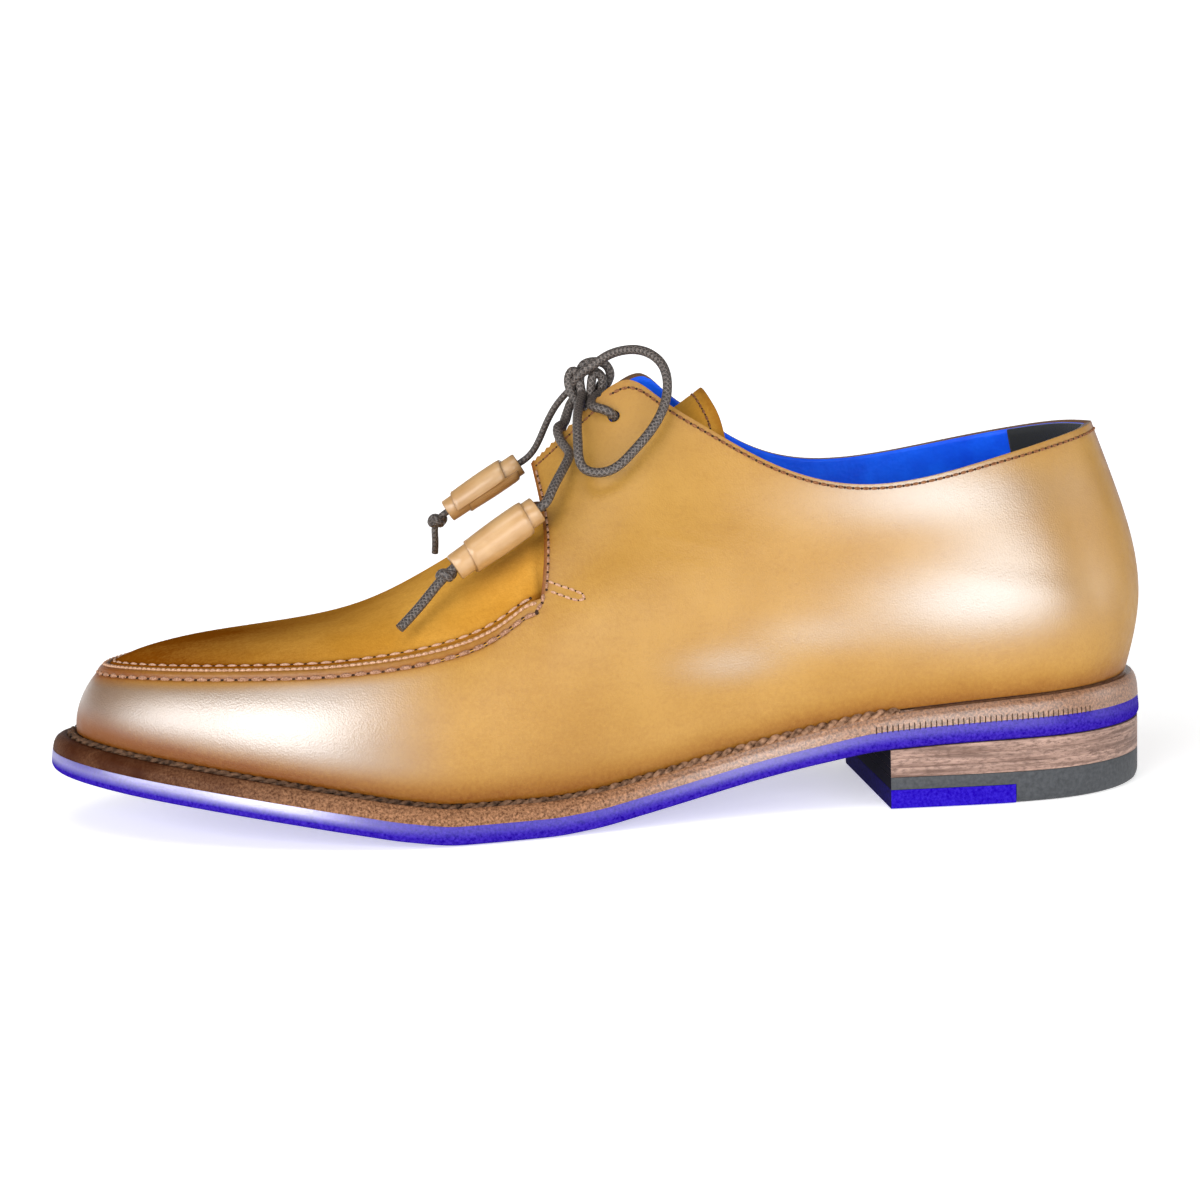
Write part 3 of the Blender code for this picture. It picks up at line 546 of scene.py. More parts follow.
class Finish:
    """Node material with one surface shader."""

    def __init__(self, name, **sockets):
        self.material = bpy.data.materials.new(name)
        self.material.use_nodes = True
        self.tree = self.material.node_tree
        self.shader = self.tree.nodes["Principled BSDF"]
        for socket, value in sockets.items():
            self.give(socket.replace("_", " "), value)
        self.place = self.add("TexCoord").outputs["Object"]

    def give(self, socket, value):
        self.fill(self.shader.inputs[socket], value)

    def fill(self, socket, value):
        """Socket set to a constant or colour, or linked to another or to the points' values of a name."""
        if isinstance(value, str):
            value = self.add("Attribute", attribute_name=value).outputs["Fac"]
        if isinstance(value, bpy.types.NodeSocket):
            self.tree.links.new(value, socket)
        else:
            socket.default_value = (*value, 1.0) if socket.type == "RGBA" else value

    def add(self, kind, inputs=None, **settings):
        node = self.tree.nodes.new("ShaderNode" + kind)
        for key, value in settings.items():
            setattr(node, key, value)
        for key, value in (inputs or {}).items():
            self.fill(node.inputs[key], value)
        return node

    def scaled(self, scale):
        """Coordinates stretched along the axes."""
        return self.add("Mapping", {"Vector": self.place, "Scale": scale}).outputs[0]

    def noise(self, scale, detail=3.0, roughness=0.5, vector=None):
        inputs = {"Vector": vector or self.place, "Scale": scale, "Detail": detail, "Roughness": roughness}
        return self.add("TexNoise", inputs).outputs[0]

    def cells(self, scale):
        return self.add("TexVoronoi", {"Vector": self.place, "Scale": scale}, feature="F1").outputs[0]

    def math(self, operation, a, b=0.0, clamp=False):
        return self.add("Math", {0: a, 1: b}, operation=operation, use_clamp=clamp).outputs[0]

    def span(self, value, low=0.3, high=0.7, to_low=0.0, to_high=1.0):
        """Value moved from one range to another, held at the ends."""
        inputs = {"Value": value, "From Min": low, "From Max": high, "To Min": to_low, "To Max": to_high}
        return self.add("MapRange", inputs).outputs[0]

    def mix(self, share, first, second):
        """Colour between two."""
        return self.add("Mix", {0: share, 6: first, 7: second}, data_type="RGBA").outputs[2]

    def axis(self, name):
        """Place along one of the model's axes, in metres."""
        return self.add("SeparateXYZ", {0: self.place}).outputs[name]

    def bump(self, *layers):
        """Bumps on top of each other: (height, strength, depth in millimetres)."""
        normal = None
        for height, strength, depth in layers:
            inputs = {"Height": height, "Strength": strength, "Distance": depth * MM}
            if normal:
                inputs["Normal"] = normal
            normal = self.add("Bump", inputs).outputs[0]
        self.give("Normal", normal)
        self.give("Coat Normal", normal)


TAN_BURNISHED_AND_SHADED = (0.18, 0.050, 0.002)
TAN_SHADE_UNDER_WAX = (0.10, 0.046, 0.012)
WAX_PAINTED_SHADE = 0.68


def calf_finish(name, specular, dark, light):
    """Burnished tan calf: fine pores, faint clouds, darker edges with painted shade in the seams, and wax
    polish, under whose highlights the base is painted darker.
    """
    finish = Finish(name, Coat_Weight="polish", Coat_Roughness=0.38, Coat_IOR=3.1)
    finish.give("Specular IOR Level", specular)
    finish.give("Roughness", finish.span(finish.noise(300.0), 0.3, 0.7, 0.40, 0.52))
    base = finish.mix(finish.span(finish.noise(38.0, 4.0), 0.35), dark, light)
    streaks = finish.noise(160.0, 3.0, 0.6, finish.scaled((0.45, 1.0, 1.6)))
    streaks = finish.span(streaks, 0.3, 0.75, -0.06, 0.08)
    grain = finish.span(finish.noise(1000.0, 4.0, 0.65), 0.3, 0.7, -0.10, 0.12)
    # The points' own darkening: burnish, and painted shade along the seams and in the stitch grooves.
    burnish = finish.math("ADD", "burnish", finish.math("ADD", streaks, grain), True)
    rubbed_and_shaded = finish.mix(burnish, base, TAN_BURNISHED_AND_SHADED)
    # Painted shade: the base is darkened where the wax polish is, standing in for the light its shining coat
    # takes.
    waxed = finish.math("MULTIPLY", "polish", WAX_PAINTED_SHADE)
    finish.give("Base Color", finish.mix(waxed, rubbed_and_shaded, TAN_SHADE_UNDER_WAX))
    finish.bump((finish.noise(420.0, 5.0, 0.65), 0.14, 0.35), (finish.cells(2100.0), 0.34, 0.10))
    return finish.material


def grain_finish(name, shades, grain, bump, contrast=(0.3, 0.7), **sockets):
    """Material of two shades that one noise mixes and raises.

    grain is the noise's scale, detail and roughness, contrast its part that the shades cover, and bump its
    strength and depth.
    """
    finish = Finish(name, **sockets)
    fibres = finish.noise(*grain)
    finish.give("Base Color", finish.mix(finish.span(fibres, *contrast), *shades))
    finish.bump((fibres, *bump))
    return finish.material


def lining_finish():
    """Bright blue lining leather."""
    finish = Finish("blue_lining", Roughness=0.5, Coat_Weight=0.05, Coat_Roughness=0.3)
    finish.give("Specular IOR Level", 0.15)
    clouds = finish.span(finish.noise(120.0, 4.0))
    finish.give("Base Color", finish.mix(clouds, (0.003, 0.075, 0.80), (0.006, 0.13, 1.0)))
    finish.bump((finish.cells(900.0), 0.35, 0.2), (finish.noise(300.0, 4.0), 0.25, 0.3))
    return finish.material


def welt_thread_finish():
    """Waxed welt thread, darker at the toe and brown towards the heel."""
    finish = Finish("welt_thread", Roughness=0.6, Specular_IOR_Level=0.12)
    fibres = finish.span(finish.noise(600.0, 2.0))
    heelward = finish.span(finish.axis("X"), -0.05, 0.03)
    dark = finish.mix(heelward, (0.010, 0.005, 0.003), (0.060, 0.028, 0.014))
    light = finish.mix(heelward, (0.13, 0.068, 0.038), (0.38, 0.215, 0.13))
    finish.give("Base Color", finish.mix(fibres, dark, light))
    finish.bump((fibres, 0.5, 0.12))
    return finish.material


def welt_finish():
    """Brown welt leather with a coarse burnished edge and painted shade in its seam's groove."""
    finish = Finish("brown_welt", Roughness=0.5, Coat_Weight="polish", Coat_Roughness=0.28, Coat_IOR=2.4)
    finish.give("Specular IOR Level", 0.02)
    fibres = finish.noise(1500.0, 4.0, 0.7)
    patches = finish.span(finish.noise(90.0), 0.3, 0.7, 0.75, 1.0)
    base = finish.mix(finish.span(fibres, 0.35, 0.68), (0.080, 0.034, 0.016), (0.41, 0.205, 0.105))
    # The points' darkening, in patches: burnish, and painted shade in the seam's groove.
    burnish = finish.math("MULTIPLY", "burnish", patches, True)
    finish.give("Base Color", finish.mix(burnish, base, (0.040, 0.010, 0.003)))
    finish.bump((fibres, 0.5, 0.22))
    return finish.material


def lift_finish():
    """Stacked leather: fine layers of pinkish brown, with open grain."""
    finish = Finish("stacked_lifts", Roughness=0.6)
    layers = finish.noise(1.0, 4.0, 0.6, finish.scaled((30.0, 30.0, 640.0)))
    specks = finish.noise(1.0, 4.0, 0.75, finish.scaled((420.0, 420.0, 1500.0)))
    base = finish.mix(finish.span(layers, 0.37, 0.63), (0.125, 0.066, 0.046), (0.39, 0.25, 0.195))
    dark = finish.span(specks, 0.36, 0.54, 0.8, 0.0)
    finish.give("Base Color", finish.mix(dark, base, (0.085, 0.040, 0.026)))
    finish.bump((specks, 0.5, 0.2), (layers, 0.3, 0.2))
    return finish.material


def insole_finish():
    """Plain sock leather."""
    finish = Finish("insole_leather", Roughness=0.55)
    clouds = finish.span(finish.noise(70.0, 4.0))
    finish.give("Base Color", finish.mix(clouds, (0.36, 0.19, 0.07), (0.46, 0.26, 0.10)))
    finish.bump((finish.cells(1000.0), 0.3, 0.15))
    return finish.material


def cord_finish():
    """Waxed woven cord, dark grey-brown with lighter strands: light painted on the strands' crests and shade
    painted in the valleys between them.
    """
    finish = Finish("waxed_cord", Roughness=0.45, Coat_Weight=0.2, Coat_Roughness=0.35)
    right_hand = finish.math("SINE", finish.math("ADD", "cord_turn", "cord_run"))
    left_hand = finish.math("SINE", finish.math("SUBTRACT", "cord_turn", "cord_run"))
    weave = finish.math("MAXIMUM", right_hand, left_hand)
    fibres = finish.noise(3000.0, 2.0)
    lit = finish.math("MULTIPLY", finish.span(weave, 0.6, 1.0), finish.span(fibres, 0.3, 0.75), True)
    finish.give("Base Color", finish.mix(lit, (0.030, 0.023, 0.020), (0.24, 0.195, 0.170)))
    finish.bump((weave, 0.45, 0.2), (fibres, 0.3, 0.1))
    return finish.material


def bead_finish():
    """Rolled vegetable-tanned leather."""
    finish = Finish("bead_leather", Roughness=0.38, Coat_Weight=0.4, Coat_Roughness=0.28, Coat_IOR=1.8)
    clouds = finish.span(finish.noise(150.0, 4.0))
    base = finish.mix(clouds, (0.41, 0.228, 0.084), (0.49, 0.30, 0.134))
    # Darker by the points' values: burnish at the rolled edges, painted shade in the bore and where the wrap
    # tucks in.
    finish.give("Base Color", finish.mix("burnish", base, (0.10, 0.04, 0.016)))
    finish.bump((finish.noise(900.0, 4.0), 0.15, 0.15))
    return finish.material


WHOLE = (0.0, 1.0)
THREAD = {"grain": (2400.0, 2.0), "bump": (0.5, 0.12), "Roughness": 0.6, "Specular_IOR_Level": 0.12}
BREAST = {"grain": (900.0, 3.0), "bump": (0.3, 0.1), "Roughness": 0.9, "Specular_IOR_Level": 0.05}
BLUE = {"grain": (1300.0, 4.0, 0.65), "contrast": (0.32, 0.7), "bump": (0.3, 0.15), "Coat_Weight": "polish",
        "Coat_Roughness": 0.30, "Coat_IOR": 3.0, "Specular_IOR_Level": 0.0}
CALF = calf_finish("tan_calf", 0.2, (0.36, 0.184, 0.028), (0.415, 0.224, 0.043))
APRON_CALF = calf_finish("apron_calf", 0.0, (0.47, 0.222, 0.028), (0.60, 0.315, 0.058))
EDGE = grain_finish("inked_edge", ((0.10, 0.045, 0.018), (0.23, 0.115, 0.05)), (1800.0, 3.0), (0.4, 0.15),
                    WHOLE, Roughness=0.5)
LINING = lining_finish()
HEEL_LINING = grain_finish("heel_lining", ((0.001, 0.002, 0.003), (0.007, 0.009, 0.011)), (2600.0, 3.0),
                           (0.5, 0.2), WHOLE, Roughness=0.8, Sheen_Weight=0.4, Sheen_Roughness=0.5)
PALE_THREAD = grain_finish("pale_thread", ((0.31, 0.155, 0.09), (0.62, 0.39, 0.26)), **THREAD)
SEAM_THREAD = grain_finish("seam_thread", ((0.15, 0.064, 0.030), (0.46, 0.26, 0.17)), **THREAD)
DARK_THREAD = grain_finish("dark_thread", ((0.10, 0.036, 0.015), (0.30, 0.13, 0.056)), **THREAD)
HOLE_SHADE = grain_finish("stitch_hole_shade", ((0.020, 0.009, 0.005), (0.05, 0.022, 0.011)), **THREAD)
WELT_THREAD = welt_thread_finish()
# Breast faces of the heel, which look to the toe under the arch: black edge dressing painted darker as shade,
# and the insert's blue as a dark shaded copy.
BREAST_DARK_SHADED = grain_finish("heel_breast", ((0.002, 0.002, 0.004), (0.006, 0.005, 0.011)), **BREAST)
BREAST_BLUE_SHADED = grain_finish("insert_breast", ((0.003, 0.002, 0.030), (0.009, 0.005, 0.10)), **BREAST)
WELT = welt_finish()
SOLE_BLUE = grain_finish("blue_sole_edge", ((0.008, 0.0, 0.19), (0.045, 0.022, 0.36)), Roughness=0.5, **BLUE)
INSERT_BLUE = grain_finish("blue_insert", ((0.008, 0.0, 0.26), (0.030, 0.014, 0.41)), Roughness=0.6, **BLUE)
LIFTS = lift_finish()
RUBBER = grain_finish("heel_rubber", ((0.034, 0.037, 0.041), (0.060, 0.064, 0.070)), (900.0, 3.0, 0.6),
                      (0.25, 0.12), Roughness=0.6, Specular_IOR_Level=0.25)
INSOLE = insole_finish()
CORD = cord_finish()
BEAD = bead_finish()


# Camera, light and floor

def make_camera():
    """Camera at the photo's angle, turned a little as the photo is."""
    yaw, pitch = math.radians(CAMERA_YAW), math.radians(CAMERA_PITCH)
    ahead = Vector((math.sin(yaw) * math.cos(pitch), math.cos(yaw) * math.cos(pitch), -math.sin(pitch)))
    data = bpy.data.cameras.new("camera")
    data.lens = CAMERA_LENS
    data.sensor_width = CAMERA_SENSOR
    data.shift_x, data.shift_y = (pixels / PHOTO_WIDTH for pixels in CAMERA_SHIFT_PX)
    data.clip_start, data.clip_end = CAMERA_CLIP
    turn = ahead.to_track_quat("-Z", "Y").to_matrix().to_4x4()
    roll = Matrix.Rotation(-math.radians(CAMERA_ROLL), 4, "Z")
    camera = put("camera", data)
    camera.matrix_world = Matrix.Translation(Vector(CAMERA_AIM) - ahead * CAMERA_DISTANCE) @ (turn @ roll)
    bpy.context.scene.camera = camera


SHOE_MIDDLE = (0.0, 0.0, 0.05)
# Soft lights: name, azimuth from the camera's side to its right, elevation, distance, size, power and aim
SOFT_BOXES = (
    ("left_box", -34, 15, 0.95, (0.54, 0.52), 5.4, SHOE_MIDDLE),
    ("toe_box", -68, 14, 0.95, (0.46, 0.40), 2.6, SHOE_MIDDLE),
    ("right_box", 15, 9, 0.42, (0.44, 0.21), 1.3, (0.10, -0.03, 0.055)),
    ("heel_box", 80, 12, 0.60, (0.30, 0.30), 0.9, (0.14, 0.0, 0.05)),
    ("top_box", -20, 60, 1.1, (0.7, 0.45), 3.6, SHOE_MIDDLE),
)


def soft_box(name, azimuth, elevation, distance, size, power, aim):
    """Large soft light."""
    a, e = math.radians(azimuth), math.radians(elevation)
    away = Vector((math.sin(a) * math.cos(e), -math.cos(a) * math.cos(e), math.sin(e)))
    data = bpy.data.lights.new(name, "AREA")
    data.shape = "RECTANGLE"
    data.size, data.size_y = size
    data.energy = power
    turn = away.to_track_quat("Z", "Y").to_matrix().to_4x4()
    put(name, data).matrix_world = Matrix.Translation(Vector(aim) + away * distance) @ turn


FLOOR_HALF = 2.5
FLOOR_BACK = 0.9
FLOOR_BEND = 0.3
FLOOR_TOP = 0.42
FLOOR_DROP = 0.0002
BEND_STEPS = 16
SURROUND_STRENGTH = 0.16
# Glow of the floor before and behind the shoe: (from Y, to Y, strength at each)
GLOW_BEFORE = (-0.55, -0.25, 0.0, 0.5)
GLOW_BEHIND = (0.05, 0.40, 0.0, 0.25)


def make_stage():
    """Pale floor that curves up behind the shoe, soft lights and an even pale surround."""
    profile = [(-FLOOR_HALF, 0.0), (FLOOR_BACK, 0.0)]
    for step in range(1, BEND_STEPS + 1):
        angle = math.radians(90) * step / BEND_STEPS
        profile.append((FLOOR_BACK + FLOOR_BEND * math.sin(angle), FLOOR_BEND * (1 - math.cos(angle))))
    profile.append((FLOOR_BACK + FLOOR_BEND, FLOOR_TOP))
    points = [(x, y, z - FLOOR_DROP) for y, z in profile for x in (-2 * FLOOR_HALF, 2 * FLOOR_HALF)]
    faces = [(2 * i, 2 * i + 1, 2 * i + 3, 2 * i + 2) for i in range(len(profile) - 1)]
    mesh = bpy.data.meshes.new("floor")
    mesh.from_pydata(points, [], faces)
    mesh.shade_smooth()
    finish = Finish("pale_floor", Roughness=0.7, Emission_Color=(1.0, 1.0, 1.0))
    finish.give("Base Color", finish.mix(finish.noise(3.0), (0.86, 0.86, 0.86), (0.88, 0.88, 0.88)))
    glow = [finish.span(finish.axis("Y"), *limits) for limits in (GLOW_BEFORE, GLOW_BEHIND)]
    finish.give("Emission Strength", finish.math("ADD", *glow))
    mesh.materials.append(finish.material)
    put("floor", mesh)
    world = bpy.data.worlds.new("surround")
    world.use_nodes = True
    surround = world.node_tree.nodes["Background"].inputs
    surround["Color"].default_value = (1.0, 1.0, 1.0, 1.0)
    surround["Strength"].default_value = SURROUND_STRENGTH
    bpy.context.scene.world = world
    for box in SOFT_BOXES:
        soft_box(*box)
    bpy.context.scene.view_settings.view_transform = "Standard"


make_camera()
make_stage()


# Lace

CORD_SIDES = 16
CORD_STEP = 0.6
CORD_TWIST = 5.0
CORD_STRANDS = 6
# Radius of the far end, which is pulled taut
TAUT_RADIUS = 0.92


def smooth_route(points, spacing):
    """Points at an even spacing on one smooth curve through a route's own points."""
    points = np.asarray(points, float)
    lengths = run_lengths(points)
    table = [(length, *point) for length, point in zip(lengths, points)]
    axes = [curve_of(table, column) for column in (1, 2, 3)]
    where = np.linspace(0, lengths[-1], max(3, round(lengths[-1] / spacing)) + 1)
    return np.stack([axis(where) for axis in axes], -1)


def cord_values(path):
    """Turn and run of the weave at each point of a cord's tube."""
    around = np.abs(np.arange(CORD_SIDES) - CORD_SIDES / 2) * 2 * np.pi / CORD_SIDES * CORD_STRANDS
    return {"cord_turn": np.tile(around, len(path)),
            "cord_run": np.repeat(run_lengths(path) * CORD_TWIST, CORD_SIDES)}


def cord_piece(name, paths, radius=CORD_DIAMETER / 2, nodes=()):
    """Round cord along one path or several."""
    points, faces = join_parts([sweep(path, radius, CORD_SIDES) for path in paths])
    weaves = [cord_values(path) for path in paths]
    values = {key: np.concatenate([weave[key] for weave in weaves]) for key in weaves[0]}
    return new_piece(name, points, faces, [CORD], "waxed_cord", nodes, values)


def free_cord(name, route, nodes, radius=CORD_DIAMETER / 2):
    """Free length of lace, from the knot."""
    path = smooth_route(route, CORD_STEP)
    piece = cord_piece(name, [path], radius, nodes)
    line = place(path)


def end_route(route, axis, tail):
    """Route of a lace end that runs straight through its bead, and on to its tip."""
    start, end = np.array(axis)
    return list(route) + [start + (end - start) * share for share in BEAD_RUN] + list(tail[1:])


HOLE_STEP = 0.05


def hole_frame(side):
    """Middle of a lace hole, the ways to the toe and to the facing's edge, and the way out of the leather."""
    middle = skin(side, HOLE_SHARE, HOLE_RISE, False)
    above, below = (skin(side, HOLE_SHARE, HOLE_RISE + step, False) for step in (HOLE_STEP, -HOLE_STEP))
    up = unit(above - below)
    forward = unit(skin(side, HOLE_SHARE - SLOPE_STEP, HOLE_RISE, False) - middle)
    out = unit(np.cross(forward, up))
    return middle, forward, up, out if out[1] * side > 0 else -out


def crossing_half(side):
    """Route from the knot over the facing's edge, in through its hole, to the inside."""
    middle, forward, up, out = hole_frame(side)
    start = np.array(KNOT_PLACE) + np.array(CROSSING_START) * (1, side, 1)
    return [start] + [middle + forward * u + up * v + out * w for u, v, w in CROSSING_ROWS]


# Strands of the knot: (to the heel, up, to the lateral side) from its middle
KNOT_STRANDS = (
    ((-3.0, -7.6, 4.4), (-4.2, -4.0, 2.8), (-5.5, -0.4, 1.6), (-5.8, 2.5, 1.0), (-4.6, 4.4, 1.2),
     (-3.3, 3.3, 2.2), (-2.9, 0.8, 3.0), (-2.5, -2.2, 3.6), (-2.4, -5.0, 4.2)),
    ((-2.8, 3.4, -0.6), (-1.6, 5.8, -0.2), (1.4, 6.6, 0.0), (4.0, 5.9, 0.2), (5.4, 3.7, 0.4), (4.9, 1.4, 0.8),
     (3.5, 0.0, 1.0), (1.6, 0.2, 0.6)),
    ((-1.2, -9.6, 3.2), (-0.9, -5.8, 3.6), (-0.3, -2.0, 3.8), (0.1, 1.6, 3.6), (1.1, 3.5, 3.2),
     (2.5, 3.1, 3.0), (3.1, 1.2, 3.0), (2.8, -1.0, 3.0)),
    ((-4.4, 1.0, 1.6), (-3.8, 2.4, 3.0), (-2.4, 3.8, 3.9), (-0.9, 5.0, 5.0)),
    ((2.6, -1.8, -2.6), (3.4, 2.4, -2.8), (0.0, 4.2, -3.2), (-3.2, 1.6, -2.8), (-2.6, -2.8, -1.6),
     (0.4, -4.0, -0.6)),
)
KNOT_CORD = 2.45


def build_knot():
    """Knot of short strands wound round each other."""
    along, across, height = KNOT_PLACE
    routes = [[(along - u, across - w, height + v) for u, v, w in strand] for strand in KNOT_STRANDS]
    paths = [smooth_route(route, CORD_STEP) for route in routes]
    cord_piece("lace_bow_knot", paths, KNOT_CORD / 2, ["lace_knot"])


BEAD_SIDES = 64
BEAD_EDGE = 0.25
BEAD_PLAY = 0.35
BEAD_SINK = 0.1
# Inner roll's radius, wrap's radius and how much its winding adds, as shares of the bead's radius
BEAD_INNER = 0.78
BEAD_OUTER = 0.90
BEAD_WINDING = 0.13
# Ends of the wrap and places of its rings and the inner roll's, as shares of the length
WRAP_ENDS = (0.14, 0.82)
WRAP_RINGS = (0.08, 0.25, 0.5, 0.75, 0.92)
INNER_RINGS = (0.1, 0.5, 0.9)


def build_bead(name, node, axis, radius, seam_turn, step):
    """Bead of a leather strip rolled up: an inner roll that stands out at both ends, and a wider outer wrap.

    The wrap's free edge lies at seam_turn (degrees), and its ends are stepped there by a share of the length.
    """
    start, end = np.array(axis, float)
    way = unit(end - start)
    length = np.linalg.norm(end - start)
    side_way = unit(np.cross(way, [0.0, 0.0, 1.0]))
    other = np.cross(way, side_way)
    wound = np.arange(BEAD_SIDES) / BEAD_SIDES
    angles = wound * 2 * np.pi + math.radians(seam_turn)
    around = np.cos(angles)[:, None] * side_way + np.sin(angles)[:, None] * other
    inner = radius * BEAD_INNER
    bore = CORD_DIAMETER / 2 + BEAD_PLAY
    slant = step * length * (wound - 0.5)
    low, high = (share * length + slant for share in WRAP_ENDS)
    outer = radius * (BEAD_OUTER + BEAD_WINDING * wound)
    # Rings of the roll and of the wrap: (place along the axis, radius, darkness: burnish at the rolled edges,
    # painted shade in the bore and where the wrap tucks in)
    roll = [(0.0, bore, 1.0), (0.0, inner - BEAD_EDGE, 0.5), (BEAD_EDGE, inner, 0.12)]
    roll += [(length * share, inner * (1 + 0.03 * math.sin(math.pi * share)), 0.0) for share in INNER_RINGS]
    roll += [(length - BEAD_EDGE, inner, 0.12), (length, inner - BEAD_EDGE, 0.5), (length, bore, 1.0)]
    wrap = [(low + BEAD_SINK, inner - BEAD_SINK, 1.0), (low, outer - BEAD_EDGE, 0.6),
            (low + BEAD_EDGE, outer, 0.15)]
    for share in WRAP_RINGS:
        swell = 1 + 0.05 * math.sin(math.pi * share) + 0.05 * (0.5 - share)
        wrap.append((low + (high - low) * share, outer * swell, 0.0))
    wrap += [(high - BEAD_EDGE, outer, 0.15), (high, outer - BEAD_EDGE, 0.6),
             (high - BEAD_SINK, inner - BEAD_SINK, 1.0)]
    parts = []
    for rings in (roll, wrap):
        points = [start + np.broadcast_to(along, BEAD_SIDES)[:, None] * way
                  + np.broadcast_to(reach, BEAD_SIDES)[:, None] * around for along, reach, _ in rings]
        starts = [number * BEAD_SIDES for number in range(len(rings))]
        parts.append((np.concatenate(points), band_faces(starts + starts[:1], BEAD_SIDES)))
    burnish = np.repeat([shade for _, _, shade in roll + wrap], BEAD_SIDES)
    bead = new_piece(name, *join_parts(parts), [BEAD], "bead_leather", [node], {"burnish": burnish},
                     smooth_angle=50)
    turn_outward(bead)
    return bead


TIP_STEPS = 60
TIP_CORD = 0.9


def tip_knot(name, centre, size, stretch):
    """Small overhand knot of cord at a lace's tip."""
    turn = np.linspace(0, 2 * np.pi, TIP_STEPS)
    loops = np.stack([np.sin(turn) + 2 * np.sin(2 * turn), np.cos(turn) - 2 * np.cos(2 * turn),
                      -np.sin(3 * turn)], -1) / 3.0
    path = np.array(centre) + loops * np.array(stretch) * size
    return cord_piece(name, [path], CORD_DIAMETER / 2 * TIP_CORD)


# Beads: (radius, turn of the wrap's free edge, its step)
NEAR_BEAD = (4.6, 200, 0.10)
FAR_BEAD = (4.0, 20, 0.16)
# Tip knots: (middle, size, stretch)
NEAR_TIP = ((190.8, -30.8, 66.6), 1.7, (1.1, 0.8, 1.0))
FAR_TIP = ((191.2, 8.9, 76.6), 1.8, (1.0, 0.9, 1.2))


def build_lace():
    """Crossing, knot, loops, beaded ends and knotted tips."""
    near_half, far_half = crossing_half(-1), crossing_half(1)
    sag = (near_half[-1] + far_half[-1]) / 2 - np.array([0.0, 0.0, CROSSING_SAG])
    crossing = smooth_route(near_half + [sag] + far_half[::-1], CORD_STEP)
    cord_piece("lace_through_holes", [crossing], nodes=["lace_crossing"])
    build_knot()
    free_cord("lace_bow_near", NEAR_LOOP_ROUTE, ["lace_loop_near"])
    free_cord("lace_bow_far", FAR_LOOP_ROUTE, ["lace_loop_far"])
    near_bead = build_bead("rolled_bead_near", "lace_bead_near", NEAR_BEAD_AXIS, *NEAR_BEAD)
    far_bead = build_bead("rolled_bead_far", "lace_bead_far", FAR_BEAD_AXIS, *FAR_BEAD)
    near_tip = tip_knot("lace_tip_knot_near", *NEAR_TIP)
    far_tip = tip_knot("lace_tip_knot_far", *FAR_TIP)
    free_cord("lace_end_with_bead_near", end_route(NEAR_END_ROUTE, NEAR_BEAD_AXIS, NEAR_TAIL_ROUTE),
              ["lace_end_near", "lace_tail_near"])
    free_cord("lace_end_with_bead_far", end_route(FAR_END_ROUTE, FAR_BEAD_AXIS, FAR_TAIL_ROUTE),
              ["lace_end_far", "lace_tail_far"], TAUT_RADIUS)


build_lace()


# Upper

SEAM_ROWS = (0.85, 3.5)
PLUG_ROW = 1.9
SKIN_WALL = 1.25
LINING_WALL = 0.7
LINING_GAP = 0.05
FACING_END = 0.548
FACING_STRETCH = 1.12
SIDE_LENGTH = 330.0
QUARTER_HEIGHT = 45.0
# Shares over which the seam's relief ends, and its burnish, painted shade and bare strip
SEAM_FADE = (0.425, 0.447)
SEAM_SHADE_AND_BARE_FADE = (0.40, 0.46)
# A distance from the welt or the seam at which neither shows
FAR_OFF = 60.0
# Columns before, in and behind the pinked facing
SKIN_COLUMNS = (96, 84, 84)
LINING_COLUMNS = (60, 60, 60)
WALL_ROWS = ((0, 0.78, 25), (0.78, 1, 22))
SKIN_QUARTER_ROWS = 58
LINING_ROWS = (26, 30)


def column_shares(front, facing, back):
    """Shares of the side panels' columns, so many before, in and behind the pinked facing."""
    return joined_steps((0, FACING_SHARE, front), (FACING_SHARE, FACING_END, facing), (FACING_END, 1, back))


def wall_rises():
    """Rises of the side panels' rows as shares of the seam's rise, closest together at the seam."""
    return joined_steps(*WALL_ROWS)


def wall_top(share):
    """Rise at which the side panel ends: the apron seam, and behind it the quarter's own lower rows."""
    return np.where(share < FACING_SHARE, seam_rise(share), 1.0)


def top_rise(share):
    """Rise of the facing's and collar's edge, with the facing's pinked teeth."""
    lengths = (np.asarray(share) - FACING_SHARE) * SIDE_LENGTH * FACING_STRETCH
    tooth = np.abs((lengths / PINK_PITCH) % 1 - 0.5) * 2
    teeth = PINK_DEPTH * tooth * smooth_step(FACING_SHARE - 0.001, FACING_SHARE + 0.001, share)
    teeth = teeth * (1 - smooth_step(PINK_END - 0.002, PINK_END, share))
    return 2 - teeth / QUARTER_HEIGHT


# Band below the apron seam and the grooves of its two rows: (height, half width, distance from the seam)
SEAM_RIDGES = ((0.5, 1.2, 2.0), (-0.34, 0.55, SEAM_ROWS[1]), (-0.15, 0.35, SEAM_ROWS[0]))


def seam_relief(distance, share):
    """Height of the stitched band below the apron seam."""
    return fading(share, 1.0, *SEAM_FADE) * sum(ridge(distance, *row) for row in SEAM_RIDGES)


